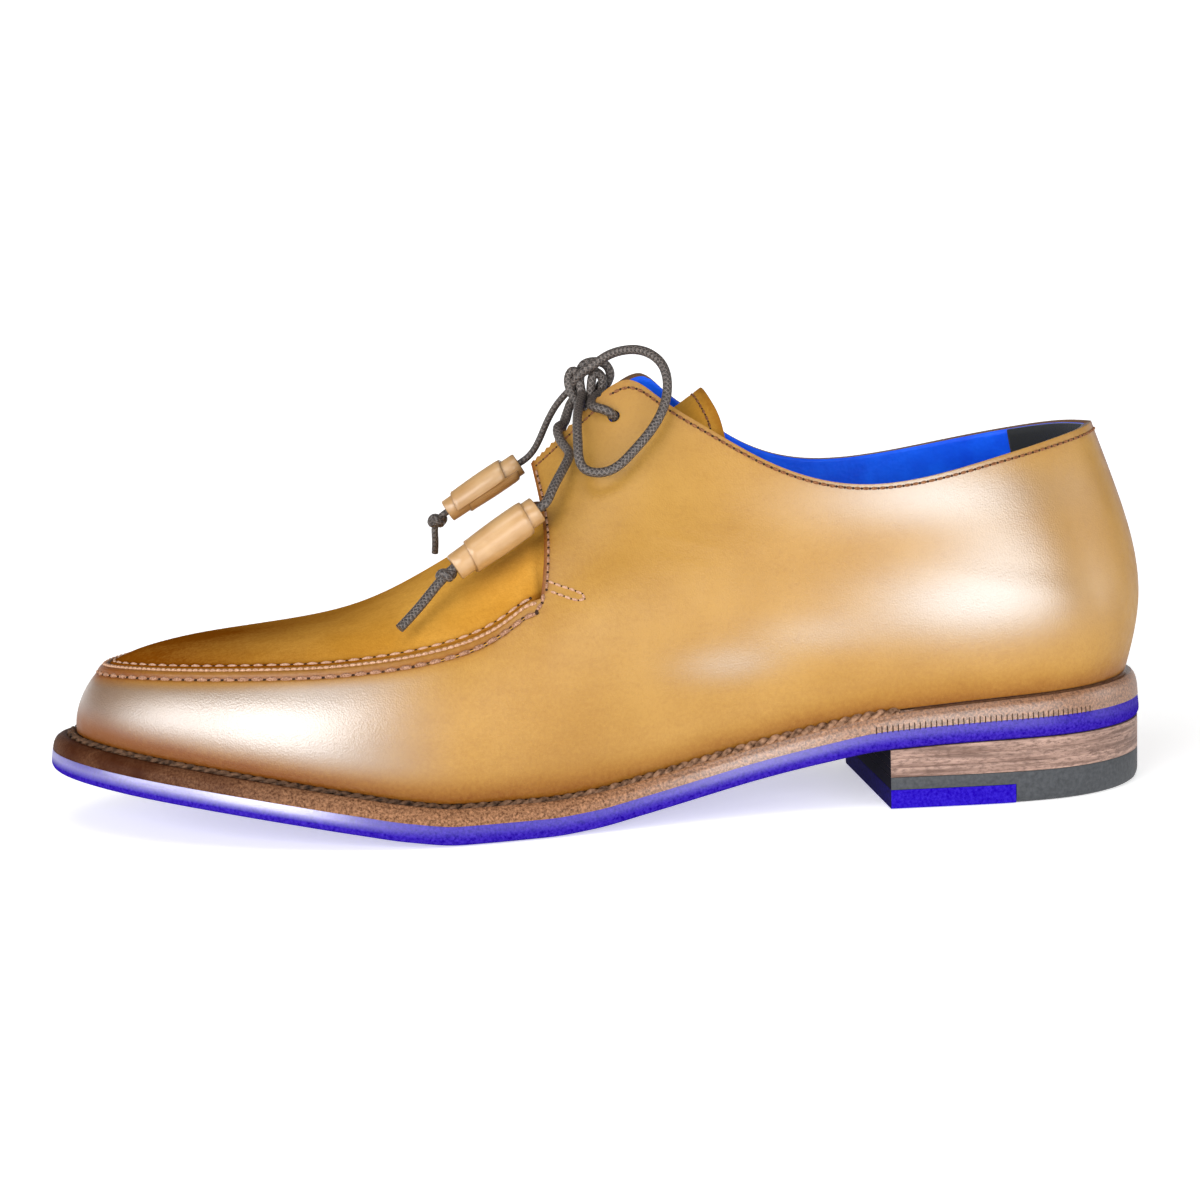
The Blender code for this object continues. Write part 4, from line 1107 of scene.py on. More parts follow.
# Darkening of the side panels: (amount, half width), (amount, half width, middle) or (amount, fading from,
# to); burnish at the toe, back, collar, facing and vamp and along the seam band, darker above the welt,
# painted shade in the seam row's groove
TOE_SHADE = (0.62, 0.085)
WELT_SHADE = (0.55, 4.5)
FOOT_SHADE = (0.18, 11.0)
FOOT_TOE_SHADE = (0.35, 0.12, 0.34)
SEAM_BURNISH_AND_SHADE = ((0.45, 3.4, 1.5), (0.5, 0.8, SEAM_ROWS[1]))
BACK_SHADE = (0.95, 0.022)
VAMP_SHADE = (0.12, 0.42, 0.56)
COLLAR_SHADE = (0.25, 3.0)
FACING_SHADE = (0.85, 1.8)


def side_burnish_and_shade(share, rise, low, seam):
    """How dark the side panel is: burnished at the toe, the back and along the seam, darker above the welt,
    and painted shade in the seam row's groove.
    """
    foot_shade, foot_height = FOOT_SHADE
    foot = ridge(low, *WELT_SHADE) + ridge(low, foot_shade + fading(share, *FOOT_TOE_SHADE), foot_height)
    # Burnish along the seam's band, and painted shade in its thick row's groove.
    edge = sum(ridge(seam, *row) for row in SEAM_BURNISH_AND_SHADE) * fading(share, 1.0, *SEAM_SHADE_AND_BARE_FADE)
    collar = ridge((2 - rise) * QUARTER_HEIGHT, *COLLAR_SHADE)
    facing = ridge((share - FACING_SHARE) * SIDE_LENGTH, *FACING_SHADE) * (rise > 1)
    ends = ridge(share, *TOE_SHADE) + ridge(1 - share, *BACK_SHADE)
    return np.clip(ends + foot + edge + collar + facing + fading(share, *VAMP_SHADE), 0, 1)


# Waxed places of the heel, which shine and under whose highlights the base is painted darker: (amount, share
# along, reach as share, height, reach in height)
HEEL_LOBES = (
    (1.0, 0.80, 0.085, 54.0, 10.0), (0.85, 0.79, 0.100, 82.0, 8.5), (0.5, 0.835, 0.055, 68.0, 9.0),
    (0.30, 0.665, 0.050, 47.0, 5.0), (0.45, 0.595, 0.040, 40.5, 4.5),
)
WAXED_TOE = (0.25, 0.385)
# Distances from the welt and from the seam over which the wax begins
WAX_OFF_WELT = (2.0, 10.0)
WAX_OFF_SEAM = (4.0, 8.0)
# Least wax anywhere, and what is left of it next to the welt and the seam
WAX_LEAST = 0.06
WAX_LEFT = 0.08


def side_wax_and_shade(share, height, low, seam):
    """How much wax polish the side panel has, which also sets the painted shade under its highlights: most at
    the toe and heel counter, little at the seams.
    """
    toe = fading(share, 1.0, *WAXED_TOE)
    heel = sum(ridge(share, amount, reach, middle) * bell(height - up, tall)
               for amount, middle, reach, up, tall in HEEL_LOBES)
    seam = seam + FAR_OFF * smooth_step(*SEAM_SHADE_AND_BARE_FADE, share)
    kept = WAX_LEFT + (1 - WAX_LEFT) * smooth_step(*WAX_OFF_WELT, low)
    kept = kept * (WAX_LEFT + (1 - WAX_LEFT) * smooth_step(*WAX_OFF_SEAM, seam))
    return np.clip(WAX_LEAST + (1 - WAX_LEAST) * np.maximum(toe, heel), 0, 1) * kept


# Soft creases of the quarter: (share, rise, length as share, length as rise, depth)
CREASES = (
    (0.548, 1.13, 0.026, 0.026, -0.07), (0.562, 1.08, 0.030, 0.024, -0.06),
    (0.556, 1.20, 0.024, 0.024, -0.05), (0.570, 1.16, 0.034, 0.028, 0.04),
)
CREASE_SLANT = 0.15
# Upper line of the stiff heel counter: (share, height)
COUNTER_LINE = ((0.55, 79.0), (0.64, 74.5), (0.70, 70.0), (0.765, 65.3), (0.82, 61.0), (1.0, 55.0))
COUNTER_ENDS = ((0.56, 0.68), (0.90, 0.97))
# Swell of the counter: (height, half width, middle), and its step: (depth, half width), with its rise
COUNTER_SWELL = (1.0, 15.0, 43.0)
COUNTER_STEP = (-0.4, 16.0)
COUNTER_STEP_RISE = (-5.0, 4.0)
counter_line = curve_of(COUNTER_LINE, 1)


def counter_relief(share, height):
    """Soft swell of the heel counter, with a shallow step along its upper line."""
    start, end = COUNTER_ENDS
    above = height - counter_line(share)
    step = ridge(above, *COUNTER_STEP) * smooth_step(*COUNTER_STEP_RISE, above)
    return (ridge(height, *COUNTER_SWELL) + step) * smooth_step(*start, share) * fading(share, 1.0, *end)


def crease_relief(share, rise):
    """Faint folds in the quarter below the lace hole."""
    relief = 0 * share
    for where, level, length, width, depth in CREASES:
        slant = (share - where) * CREASE_SLANT
        relief = relief + depth * bell(share - where, length) * bell(rise - level + slant, width)
    return relief


def side_grids(side, shares, low_rises, high_count):
    """Skin of one side: points, looks and normals of its wall and of its quarter."""
    grids = []

    def add(points, normals, relief, share, rise, low, seam):
        points = points + normals * (relief + counter_relief(share, points[..., 2]))[..., None]
        looks = [side_burnish_and_shade(share, rise, low, seam), side_wax_and_shade(share, points[..., 2], low, seam)]
        grids.append((points, np.stack(looks, -1), normals))

    share, rise = np.meshgrid(shares, low_rises, indexing="ij")
    rise = rise * wall_top(share)
    points = wall(side, share, rise)
    low = row_lengths(points)
    seam = low[:, -1:] - low
    add(points, grid_normals(points, side), seam_relief(seam, share), share, rise, low, seam)
    quarter = shares[shares >= FACING_SHARE - 1e-9]
    share, part = np.meshgrid(quarter, np.linspace(0, 1, high_count), indexing="ij")
    rise = 1 + part * (top_rise(share) - 1)
    points = skin(side, side_share(share, rise), rise, False)
    far_off = FAR_OFF + 0 * rise
    add(points, grid_normals(points, side), crease_relief(share, rise), share, rise, far_off, far_off)
    return grids


HOLE_DEPTH = 4


def punch(points, faces, side):
    """Faces without those over the lace hole, and its rim moved onto a circle."""
    middle, _, up, out = hole_frame(side)
    forward = np.cross(up, out)
    away = points - middle
    u, v, w = away @ forward, away @ up, away @ out
    distance = np.hypot(u, v)
    near = (distance < HOLE_DIAMETER) & (np.abs(w) < HOLE_DEPTH)
    radius = HOLE_SEEN / 2
    kept, cut_away = [], []
    for face in faces:
        index = list(face)
        over = near[index].all() and np.hypot(u[index].mean(), v[index].mean()) < radius
        (cut_away if over else kept).append(face)
    rim = {k for face in cut_away for k in face} & {k for face in kept for k in face}
    for k in rim:
        scale = radius / max(distance[k], 1e-6)
        points[k] += forward * u[k] * (scale - 1) + up * v[k] * (scale - 1)
    return kept


def surface(grids_of_sides):
    """Joined points, faces and looks of both sides' walls and quarters, with the lace holes punched."""
    parts, looks = [], []
    for side, (low_grid, quarter) in grids_of_sides:
        for grid, look, _ in (low_grid, quarter):
            points = grid.reshape(-1, 3).copy()
            quads = grid_quads(*grid.shape[:2], flip=side > 0)
            if grid is quarter[0]:
                quads = punch(points, quads, side)
            parts.append((points, quads))
            looks.append(look.reshape(-1, 2))
    return *join_parts(parts), np.concatenate(looks)


def build_sides():
    """Side panels and quarters, one piece of leather from the toe to the back seam on each side."""
    shares = column_shares(*SKIN_COLUMNS)
    sides = [(side, side_grids(side, shares, wall_rises(), SKIN_QUARTER_ROWS)) for side in (-1, 1)]
    points, faces, looks = surface(sides)
    values = {"burnish": looks[:, 0], "polish": looks[:, 1]}
    piece = leather_piece("upper_sides", points, faces, [CALF, EDGE], ["upper"], values)
    thicken(piece, SKIN_WALL, edge_slot=1, rounding=0.25)


def build_lining():
    """Blue lining on the inside of the side panels."""
    wall_count, quarter_count = LINING_ROWS
    sides = []
    for side in (-1, 1):
        grids = side_grids(side, column_shares(*LINING_COLUMNS), np.linspace(0, 1, wall_count), quarter_count)
        sides.append((side, [(points - normals * (SKIN_WALL + LINING_GAP), look, normals)
                             for points, look, normals in grids]))
    points, faces, _ = surface(sides)
    # The lining's cut rims take the dark inked edge, which also stands as painted shade inside the lace
    # holes.
    thicken(leather_piece("lining", points, faces, [LINING, EDGE]), LINING_WALL, edge_slot=1)


HEEL_LINING_START = 0.900
HEEL_LINING_RISES = (0.25, 1.998)
HEEL_LINING_STEPS = 40
HEEL_LINING_WALL = 0.6
HEEL_LINING_GAP = 0.1


def build_heel_lining():
    """Black piece that lines the heel inside the collar."""
    shares = np.linspace(HEEL_LINING_START, 1, HEEL_LINING_STEPS)
    rises = np.linspace(*HEEL_LINING_RISES, HEEL_LINING_STEPS)
    share, rise = np.meshgrid(shares, rises, indexing="ij")
    parts = []
    for side in (-1, 1):
        points = skin(side, share, rise, False)
        points = points - grid_normals(points, side) * (SKIN_WALL + LINING_WALL + HEEL_LINING_GAP)
        parts.append((points.reshape(-1, 3), grid_quads(*share.shape, flip=side > 0)))
    thicken(leather_piece("heel_lining", *join_parts(parts), [HEEL_LINING]), HEEL_LINING_WALL)


APRON_COLUMNS = 130
APRON_ROWS = ((0, 0.25, 16), (0.25, 1, 26))
# Roll of the apron's edge and the groove of its row: (height, half width, distance from the seam)
APRON_RIDGES = ((0.55, 1.0, 1.6), (-0.30, 0.45, PLUG_ROW))
# Burnish of the apron: everywhere; by distance from the seam, burnish near it with painted shade under the
# side panel's edge and in its row's groove; fading from the toe, and along its crest
APRON_SHADE = 0.06
APRON_SEAM_BURNISH_AND_SHADE = ((0.15, 6.0), (0.9, 0.9, 0.2), (0.5, 0.8, PLUG_ROW))
APRON_TOE_SHADE = (0.86, 0.03, 0.36)
CREST_SHADE = (0.22, 0.30, 0.42)
CREST_ROWS = (0.35, 1.0)
APRON_WALL = 1.5
APRON_FADE = (0.42, 0.44)
TUCK = 0.06
TUCK_REACH = 40
TUCK_DROP = 0.9
FACING_UNDERLAP = 2.6
UNDERLAP_START = (0.438, 0.449)


def apron_grid(side, shares, rows):
    """Skin of one half of the apron, tucked under the side panel at its edge and under the facing behind."""
    share, part = np.meshgrid(shares, rows, indexing="ij")
    edge = seam_rise(share)
    rise = edge + (2 - edge) * np.maximum(part, 0)
    points = skin(side, share, rise, True)
    inward = skin(side, share, 2.0, True) - skin(side, share, 1.0, True)
    inward[..., 2] = 0
    inward = unit(inward)
    level = np.clip(1 - part, 0, 1)
    points = points + inward * (APRON_STEP_INSET * level)[..., None]
    points[..., 2] -= APRON_STEP * level
    under = np.clip(-part, 0, None) * TUCK_REACH
    points = points - inward * under[..., None]
    points[..., 2] -= under * TUCK_DROP
    behind = smooth_step(*UNDERLAP_START, share) * (1 - np.clip(part, 0, 1))
    points = points + inward * (FACING_UNDERLAP * behind)[..., None]
    return points, share, part


def build_apron():
    """Apron from the toe to the facings, with a stitched row along its edge."""
    shares = np.linspace(0, APRON_END, APRON_COLUMNS)
    tucked = [-TUCK, -TUCK / 2]
    rows = np.concatenate([tucked, joined_steps(*APRON_ROWS)])
    parts, values = [], []
    for side in (-1, 1):
        points, share, part = apron_grid(side, shares, rows)
        normals = grid_normals(points, side)
        lengths = row_lengths(points)
        distance = lengths - lengths[:, len(tucked), None]
        relief = sum(ridge(distance, *row) for row in APRON_RIDGES) * fading(share, 1.0, *APRON_FADE)
        points = points + normals * (relief * (part >= 0))[..., None]
        burnish = APRON_SHADE + fading(share, *APRON_TOE_SHADE)
        # Painted shade under the side panel's edge and in the apron row's groove, with burnish near the seam.
        burnish = burnish + sum(ridge(distance, *row) for row in APRON_SEAM_BURNISH_AND_SHADE)
        burnish = burnish + fading(share, *CREST_SHADE) * smooth_step(*CREST_ROWS, part)
        parts.append((points.reshape(-1, 3), grid_quads(*share.shape, flip=side > 0)))
        values.append(np.clip(burnish, 0, 1).reshape(-1))
    burnish = {"burnish": np.concatenate(values)}
    piece = leather_piece("upper_apron", *join_parts(parts), [APRON_CALF, EDGE, LINING], values=burnish)
    thicken(piece, APRON_WALL, edge_slot=1, inner_slot=2)


TONGUE_GRID = (70, 61)
TONGUE_WALL = 1.6
# Rounding of the tongue's top corners: (fall, share of the half width where it starts, reach along)
TONGUE_CORNER = (1.6, 0.6, 16)
CORNER_DROP = 0.75
# Length on the sloping tongue for a length along the shoe
TONGUE_SLOPE = 1.25
TONGUE_SHADE = 0.12
TONGUE_EDGE_SHADE = (0.5, 2.0)
TONGUE_LOW_SHADE = 0.1
TONGUE_LOW = (140, 178)
HEM = 3.2
HEM_GROOVE = (-0.2, 0.5, HEM)
HEM_ROWS = 30
HEM_HALF = 0.82
HEM_POINTS = 60


def build_tongue():
    """Tongue from under the apron up to its free, round-cornered top; gives the line of its hem."""
    row_count, column_count = TONGUE_GRID
    middle = column_count // 2
    rows = np.linspace(TONGUE[0][0], TONGUE[-1][0], row_count)
    along, column = np.meshgrid(rows, np.linspace(-1, 1, column_count), indexing="ij")
    height, half_width, drop, lag = (curve_of(TONGUE, number)(along) for number in (1, 2, 3, 4))
    fall, start, reach = TONGUE_CORNER
    beyond = np.clip(np.abs(column) - start, 0, None) / (1 - start)
    corner = fall * beyond ** 2 * (1 - smooth_step(0, reach, along - rows[0]))
    points = np.stack([along - lag * column ** 2 + corner, half_width * column,
                       height - drop * column ** 2 - CORNER_DROP * corner], -1)
    normals = unit(np.cross(np.gradient(points, axis=0), np.gradient(points, axis=1)))
    normals = normals * np.sign(normals[row_count // 2, middle, 2])
    edge = np.minimum((along - rows[0]) * TONGUE_SLOPE, (1 - np.abs(column)) * half_width)
    points = points + normals * ridge(edge, *HEM_GROOVE)[..., None]
    low = TONGUE_LOW_SHADE * smooth_step(*TONGUE_LOW, along)
    burnish = TONGUE_SHADE + ridge(edge, *TONGUE_EDGE_SHADE) + low
    piece = leather_piece("tongue_leather", points.reshape(-1, 3), grid_quads(row_count, column_count),
                          [APRON_CALF, EDGE, LINING], ["tongue"],
                          {"burnish": np.clip(burnish, 0, 1).reshape(-1)}, merge=0.0)
    if np.mean([face.normal.z for face in piece.data.polygons]) < 0:
        piece.data.flip_normals()
    thicken(piece, TONGUE_WALL, edge_slot=1, inner_slot=2, rounding=0.3)
    columns = [int((across + 1) * middle) for across in np.linspace(-HEM_HALF, HEM_HALF, HEM_POINTS)]
    nearest = [int(np.argmin(np.abs(edge[:HEM_ROWS, k] - HEM))) for k in columns]
    return points[nearest, columns], normals[nearest, columns]


build_sides()
build_lining()
build_heel_lining()
build_apron()
tongue_hem = build_tongue()


# Stitches

STITCH_SIDES = 8
STITCH_RINGS = 7
STITCH_SINK = 0.6
STITCH_LIFT = 0.9
STITCH_TAPER = (0.12, 0.76)
# Needle hole from below: (height over the leather, share of its radius)
NEEDLE_HOLE = ((-0.3, 1.0), (0.06, 1.0), (0.09, 0.6))
SHARE_STEP = 0.004
RISE_STEP = 0.01
APRON_LINE_ROWS = ((0, 0.25, 30), (0.25, 1, 10))
APRON_ROW_LIFT = 0.22
SEAM_ROW_LIFT = 0.28
# Along values between which the seam's thick row rises out of the leather
SEAM_ROW_RISES = (172.0, 205.0)


def resampled(points, normals, pitch):
    """Points and normals at an even pitch along a line."""
    lengths = run_lengths(points)
    where = np.arange(0, lengths[-1], pitch)
    return interp_rows(where, lengths, points), unit(interp_rows(where, lengths, normals))


def stitch(start, end, normal, radius):
    """One stitch that rises out of its hole and goes down into the next."""
    s = np.linspace(0, 1, STITCH_RINGS)
    lift = radius * STITCH_LIFT * np.sin(np.pi * s) - STITCH_SINK * radius
    path = start + (end - start) * s[:, None] + normal * lift[:, None]
    start_size, growth = STITCH_TAPER
    return sweep(path, radius * np.sqrt(np.sin(np.pi * (start_size + growth * s))), STITCH_SIDES)


def hole_dot(centre, normal, radius):
    """Dark dot standing for a needle hole: painted shade inside the hole."""
    heights, sizes = np.array(NEEDLE_HOLE).T
    return sweep(centre + normal * heights[:, None], radius * sizes, STITCH_SIDES)


def stitch_rows(name, rows, thread):
    """Rows of stitches and needle holes: ((points, normals), (pitch, share sewn, radius, hole radius))."""
    threads, hole_shades = [], []
    for (points, normals), (pitch, sewn, radius, hole) in rows:
        line, ways = resampled(points, normals, pitch)
        gap = (1 - sewn) / 2
        for here, ahead, way in zip(line, line[1:], ways):
            threads.append(stitch(here + (ahead - here) * gap, ahead - (ahead - here) * gap, way, radius))
            if hole:
                hole_shades.append(hole_dot(here, way, hole))
    new_piece(name, *join_parts(threads), [thread], "calf_leather")
    new_piece(name + "_holes", *join_parts(hole_shades), [HOLE_SHADE], "calf_leather")


def line_at(points, normals, lengths, distance):
    """Points and normals on a grid's columns where the length along each column has a value."""
    both = np.concatenate([points, normals], -1)
    rows = np.array([interp_rows(distance, knots, values) for knots, values in zip(lengths, both)])
    return rows[:, :3], rows[:, 3:]


def wall_line(side, shares, distance):
    """Points and normals on a side panel at a distance below the seam."""
    share, rise = np.meshgrid(shares, wall_rises(), indexing="ij")
    points = wall(side, share, rise * wall_top(share))
    normals = grid_normals(points, side)
    low = row_lengths(points)
    seam = low[:, -1:] - low
    points = points + normals * seam_relief(seam, share)[..., None]
    line, ways = line_at(points[:, ::-1], normals[:, ::-1], seam[:, ::-1], distance)
    return line, unit(ways)


def apron_line(side, shares, distance):
    """Points and normals on the apron at a distance from the seam."""
    points, _, _ = apron_grid(side, shares, joined_steps(*APRON_LINE_ROWS))
    line, ways = line_at(points, grid_normals(points, side), row_lengths(points), distance)
    return line + ways * APRON_ROW_LIFT, unit(ways)


def both_sides(line_of, shares, distance):
    """A line from one side's end round the toe or heel to the other side's."""
    near, far = (line_of(side, shares, distance) for side in (-1, 1))
    return tuple(np.concatenate([a[::-1], b[1:]]) for a, b in zip(near, far))


def top_line(side, shares, inset):
    """Points and normals on the quarter, below its top edge."""
    top = 2 - inset / QUARTER_HEIGHT
    share, rise = np.meshgrid(shares, np.array([top - RISE_STEP, top]), indexing="ij")
    points = skin(side, side_share(share, rise), rise, False)
    return points[:, 1], grid_normals(points, side)[:, 1]


def facing_line(side, rises, inset):
    """Points and normals on the quarter, behind the facing's front edge."""
    start = FACING_SHARE + inset / SIDE_LENGTH
    share, rise = np.meshgrid(np.array([start, start + SHARE_STEP]), rises, indexing="ij")
    points = skin(side, side_share(share, rise), rise, False)
    return points[0], grid_normals(points, side)[0]


# Narrow loop of stitches where the facing meets the seam, and the seam's last stitches: (share, rise)
BAR_TACK = ((0.4515, 1.080), (0.461, 1.005), (0.470, 0.958), (0.4795, 0.910), (0.4800, 0.895),
            (0.4765, 0.885), (0.469, 0.912), (0.460, 0.960), (0.451, 1.018))
SEAM_CORNER = ((0.441, 0.950), (0.4445, 0.955), (0.4470, 0.990), (0.4475, 1.040))
CORNER_STEPS = 12


def skin_line(side, corners):
    """Points and normals on the quarter along a line of (share, rise)."""
    steps = [np.linspace(a, b, CORNER_STEPS)[:-1] for a, b in zip(corners, corners[1:])]
    share, rise = np.concatenate(steps).T
    points = skin(side, share, rise, False)
    ahead = skin(side, share + SLOPE_STEP, rise, False) - points
    up = skin(side, share, rise + RISE_STEP, False) - points
    return points, unit(np.cross(ahead, up)) * side


# Stitches of each row: pitch, share sewn, radius and needle hole's radius
PLUG_STITCH = (3.6, 0.76, 0.38, 0.36)
FINE_STITCH = (1.7, 0.94, 0.46, 0.0)
SEAM_STITCH = (3.85, 0.80, 0.58, 0.54)
CORNER_STITCH = (2.6, 0.84, 0.50, 0.42)
FACING_STITCH = (2.5, 0.76, 0.36, 0.36)
TACK_STITCH = (1.9, 0.78, 0.36, 0.24)
COLLAR_STITCH = (2.2, 0.68, 0.40, 0.34)
PINKED_STITCH = (2.4, 0.72, 0.30, 0.30)
HEM_STITCH = (2.4, 0.72, 0.36, 0.30)
# Distances of the rows from the collar's, the pinked and the facing's front edge
COLLAR_INSET = 1.9
PINKED_INSET = 2.6
FACING_INSET = 1.4
# Shares that the rows cover, and rises of the facing's row
SEAM_SHARES = np.linspace(0, 0.441, 200)
PLUG_SHARES = np.linspace(0, 0.437, 200)
COLLAR_SHARES = np.linspace(0.526, 1, 300)
PINKED_SHARES = np.linspace(FACING_SHARE + 0.006, PINK_END, 60)
FACING_RISES = np.linspace(1.03, 1.93, 80)


def build_stitches():
    """All seams of the upper."""
    line, ways = both_sides(wall_line, SEAM_SHARES, SEAM_ROWS[1])
    line = line + ways * fading(line[:, 0], SEAM_ROW_LIFT, *SEAM_ROW_RISES)[:, None]
    pale = [(both_sides(apron_line, PLUG_SHARES, PLUG_ROW), PLUG_STITCH),
            (both_sides(wall_line, SEAM_SHARES, SEAM_ROWS[0]), FINE_STITCH)]
    thick = [((line, ways), SEAM_STITCH)]
    dark = [(both_sides(top_line, COLLAR_SHARES, COLLAR_INSET), COLLAR_STITCH)]
    for side in (-1, 1):
        thick.append((facing_line(side, FACING_RISES, FACING_INSET), FACING_STITCH))
        pale.append((skin_line(side, BAR_TACK), TACK_STITCH))
        thick.append((skin_line(side, SEAM_CORNER), CORNER_STITCH))
        dark.append((top_line(side, PINKED_SHARES, PINKED_INSET), PINKED_STITCH))
    dark.append((tongue_hem, HEM_STITCH))
    stitch_rows("apron_stitches", pale, PALE_THREAD)
    stitch_rows("seam_stitches", thick, SEAM_THREAD)
    stitch_rows("collar_stitches", dark, DARK_THREAD)


build_stitches()


# Sole

STATIONS = 150
HEEL_STATIONS = 60
# Sections of the layers' edges from the bottom up: (inset from the outline, share of the height)
SOLE_EDGE = ((1.6, 0.0), (0.8, 0.05), (0.35, 0.12), (0.08, 0.22), (0.0, 0.32), (0.04, 0.5), (0.14, 0.7),
             (0.28, 0.87), (0.42, 1.0))
LIFT_EDGE = ((0.10, 0.0), (0.0, 0.06), (0.0, 0.94), (0.10, 1.0))
TOP_EDGE = ((1.2, 0.0), (0.6, 0.05), (0.2, 0.16), (0.0, 0.3), (0.0, 0.96), (0.2, 1.0))
INSERT_EDGE = ((0.5, 0.0), (0.12, 0.05), (0.0, 0.14), (0.0, 1.0))
SQUARE_EDGE = ((0.6, 0.0), (0.0, 0.1), (0.0, 0.75), (0.5, 0.93), (1.3, 1.0))
# Joints left between the lifts, round the rubber and before and behind the insert's back edge
LIFT_JOINT = 0.02
RUBBER_JOINT = 0.08
RUBBER_FRONT_JOINT = 0.05
INSERT_JOINT = 0.1
LAYER_WELD = 0.001
LAYER_ANGLE = 35
# Faces of the heel that look to the toe at least so much are its breast
BREAST_TURN = 0.9


def edge_line(side, reach, inset):
    """Plan of a layer's edge on one side, as rising along values and their across values."""
    line, normals, shares = FEATHER_HALVES[side]
    edge = (line + normals * (reach(shares) - inset)[:, None])[::-1]
    return np.maximum.accumulate(edge[:, 0]), edge[:, 1]


def round_ends(count):
    """Stations from 0 to 1, closest together where the outline turns."""
    even = np.linspace(0, 1, count + 1)
    turned = (1 - np.cos(np.pi * even)) / 2
    return np.clip(turned + 0.5 * (even - turned) * np.sin(np.pi * even), 1e-5, 1 - 1e-5)


def layer(name, material, slot, reach, edge, bottom, top, node, back=None, front=None, breast=None,
          polish=None):
    """Layer of the sole between two heights, inside the outline at its reach beyond the feather line."""
    points, glosses = [], []
    lines = {(side, inset): edge_line(side, reach, inset) for side in (-1, 1) for inset, _ in edge}
    for station in round_ends(STATIONS if front is None else HEEL_STATIONS):
        for side in (-1, 1):
            for inset, share in edge[::-side]:
                along_line, across_line = lines[(side, inset)]
                first = along_line[0] if back is None else back
                last = along_line[-1] if front is None else front
                along = first + (last - first) * station
                across = np.interp(along, along_line, across_line)
                points.append((along, across, bottom(along) + share * (top(along) - bottom(along))))
                glosses.append(polish(along, share) if polish else 0.0)
    count = 2 * len(edge)
    faces = band_faces(range(0, len(points), count), count)
    faces += [tuple(range(count)), tuple(range(len(points) - count, len(points)))]
    piece = new_piece(name, np.array(points), faces, [material], slot, [node], {"polish": np.array(glosses)},
                      merge=LAYER_WELD, smooth_angle=LAYER_ANGLE)
    turn_outward(piece)
    # Faces that look to the toe take the breast material, painted darker as the shade under the heel's front.
    if breast:
        piece.data.materials.append(breast)
        for face in piece.data.polygons:
            face.material_index = int(face.normal.x < -BREAST_TURN)


def heel_layer(name, material, slot, edge, bottom, top, node, front=HEEL_BREAST, **others):
    """Layer of the heel, which ends at its front."""
    def reach(share):
        return welt_reach(share) - HEEL_INSET
    layer(name, material, slot, reach, edge, bottom, top, node, front=front, **others)


# Wax of the sole's edge: least, its growth to the toe, a little under the arch, and its part of the height
EDGE_WAX = 0.10
TOE_WAX = (192.0, 230.0)
ARCH_WAX = (0.18, 28.0, 112.0)
WAXED_EDGE = (0.35, 0.7)


def edge_polish(along, share):
    """Wax polish of the sole's edge: on its upper part, most round the toe and a little under the arch."""
    waxed = EDGE_WAX + (1 - EDGE_WAX) * smooth_step(*TOE_WAX, along) + ridge(along, *ARCH_WAX)
    return waxed * smooth_step(*WAXED_EDGE, share)


def lift_level(count, joint):
    """Height of the top of so many lifts, as a function of the place along the shoe."""
    def level(along):
        return TOP_PIECE_HEIGHT + (sole_bottom(along) - TOP_PIECE_HEIGHT) * count / LIFT_COUNT + joint
    return level


def build_sole():
    """Outsole, insole and heel."""
    layer("sole_leather", SOLE_BLUE, "sole_edge_blue", welt_reach, SOLE_EDGE, sole_bottom, outsole_top,
          "outsole", polish=edge_polish)
    layer("sock_insole", INSOLE, "insole_leather", always(-INSOLE_INSET), SQUARE_EDGE,
          lambda along: outsole_top(along) + GAP, lambda along: welt_top(along) + INSOLE_RISE, "insole")
    for number in range(1, LIFT_COUNT + 1):
        low, high = lift_level(number - 1, LIFT_JOINT), lift_level(number, -LIFT_JOINT)
        heel_layer(f"leather_lift_{number}", LIFTS, "stacked_leather", LIFT_EDGE, low, high,
                   f"heel_lift_{number}", breast=BREAST_DARK_SHADED)
    rubber_top = always(TOP_PIECE_HEIGHT - RUBBER_JOINT)
    rubber_end = INSERT_BACK - RUBBER_FRONT_JOINT
    heel_layer("heel_rubber_rear", RUBBER, "heel_rubber", TOP_EDGE, always(0.0), rubber_top,
               "heel_top_rubber", front=rubber_end)
    heel_layer("heel_rubber_front", RUBBER, "heel_rubber", LIFT_EDGE, always(INSERT_HEIGHT + RUBBER_JOINT),
               rubber_top, "heel_top_rubber", back=rubber_end, breast=BREAST_DARK_SHADED)
    heel_layer("heel_insert", INSERT_BLUE, "insert_blue", INSERT_EDGE, always(0.0), always(INSERT_HEIGHT),
               "heel_top_insert", back=INSERT_BACK + INSERT_JOINT, breast=BREAST_BLUE_SHADED)


WELT_STATIONS = 260
WELT_JOIN = 0.03
WELT_FULL_REACH = 6.0
# Welt's section from its outer lower edge round: (1 at the edge, 0 at the feather line; offset from it; rise)
WELT_SECTION = (
    (1.0, -0.42, 0.0), (1.0, -0.50, 0.15), (1.0, -0.68, 0.33), (1.0, -0.98, 0.50), (1.0, -1.45, 0.66),
    (1.0, -2.05, 0.78), (1.0, -2.8, 0.86), (0.0, 2.7, 0.90), (0.0, 2.2, 0.88), (0.0, 1.9, 0.66),
    (0.0, 1.0, 0.58), (0.0, 0.4, 0.62), (0.0, 0.0, 0.95), (0.0, -2.4, 1.0), (0.0, -2.4, 0.0),
)
GROOVE_FADE = (0.69, 0.76)
GROOVE_FILLED = 0.92
DARK_TOE = (0.08, 0.36)
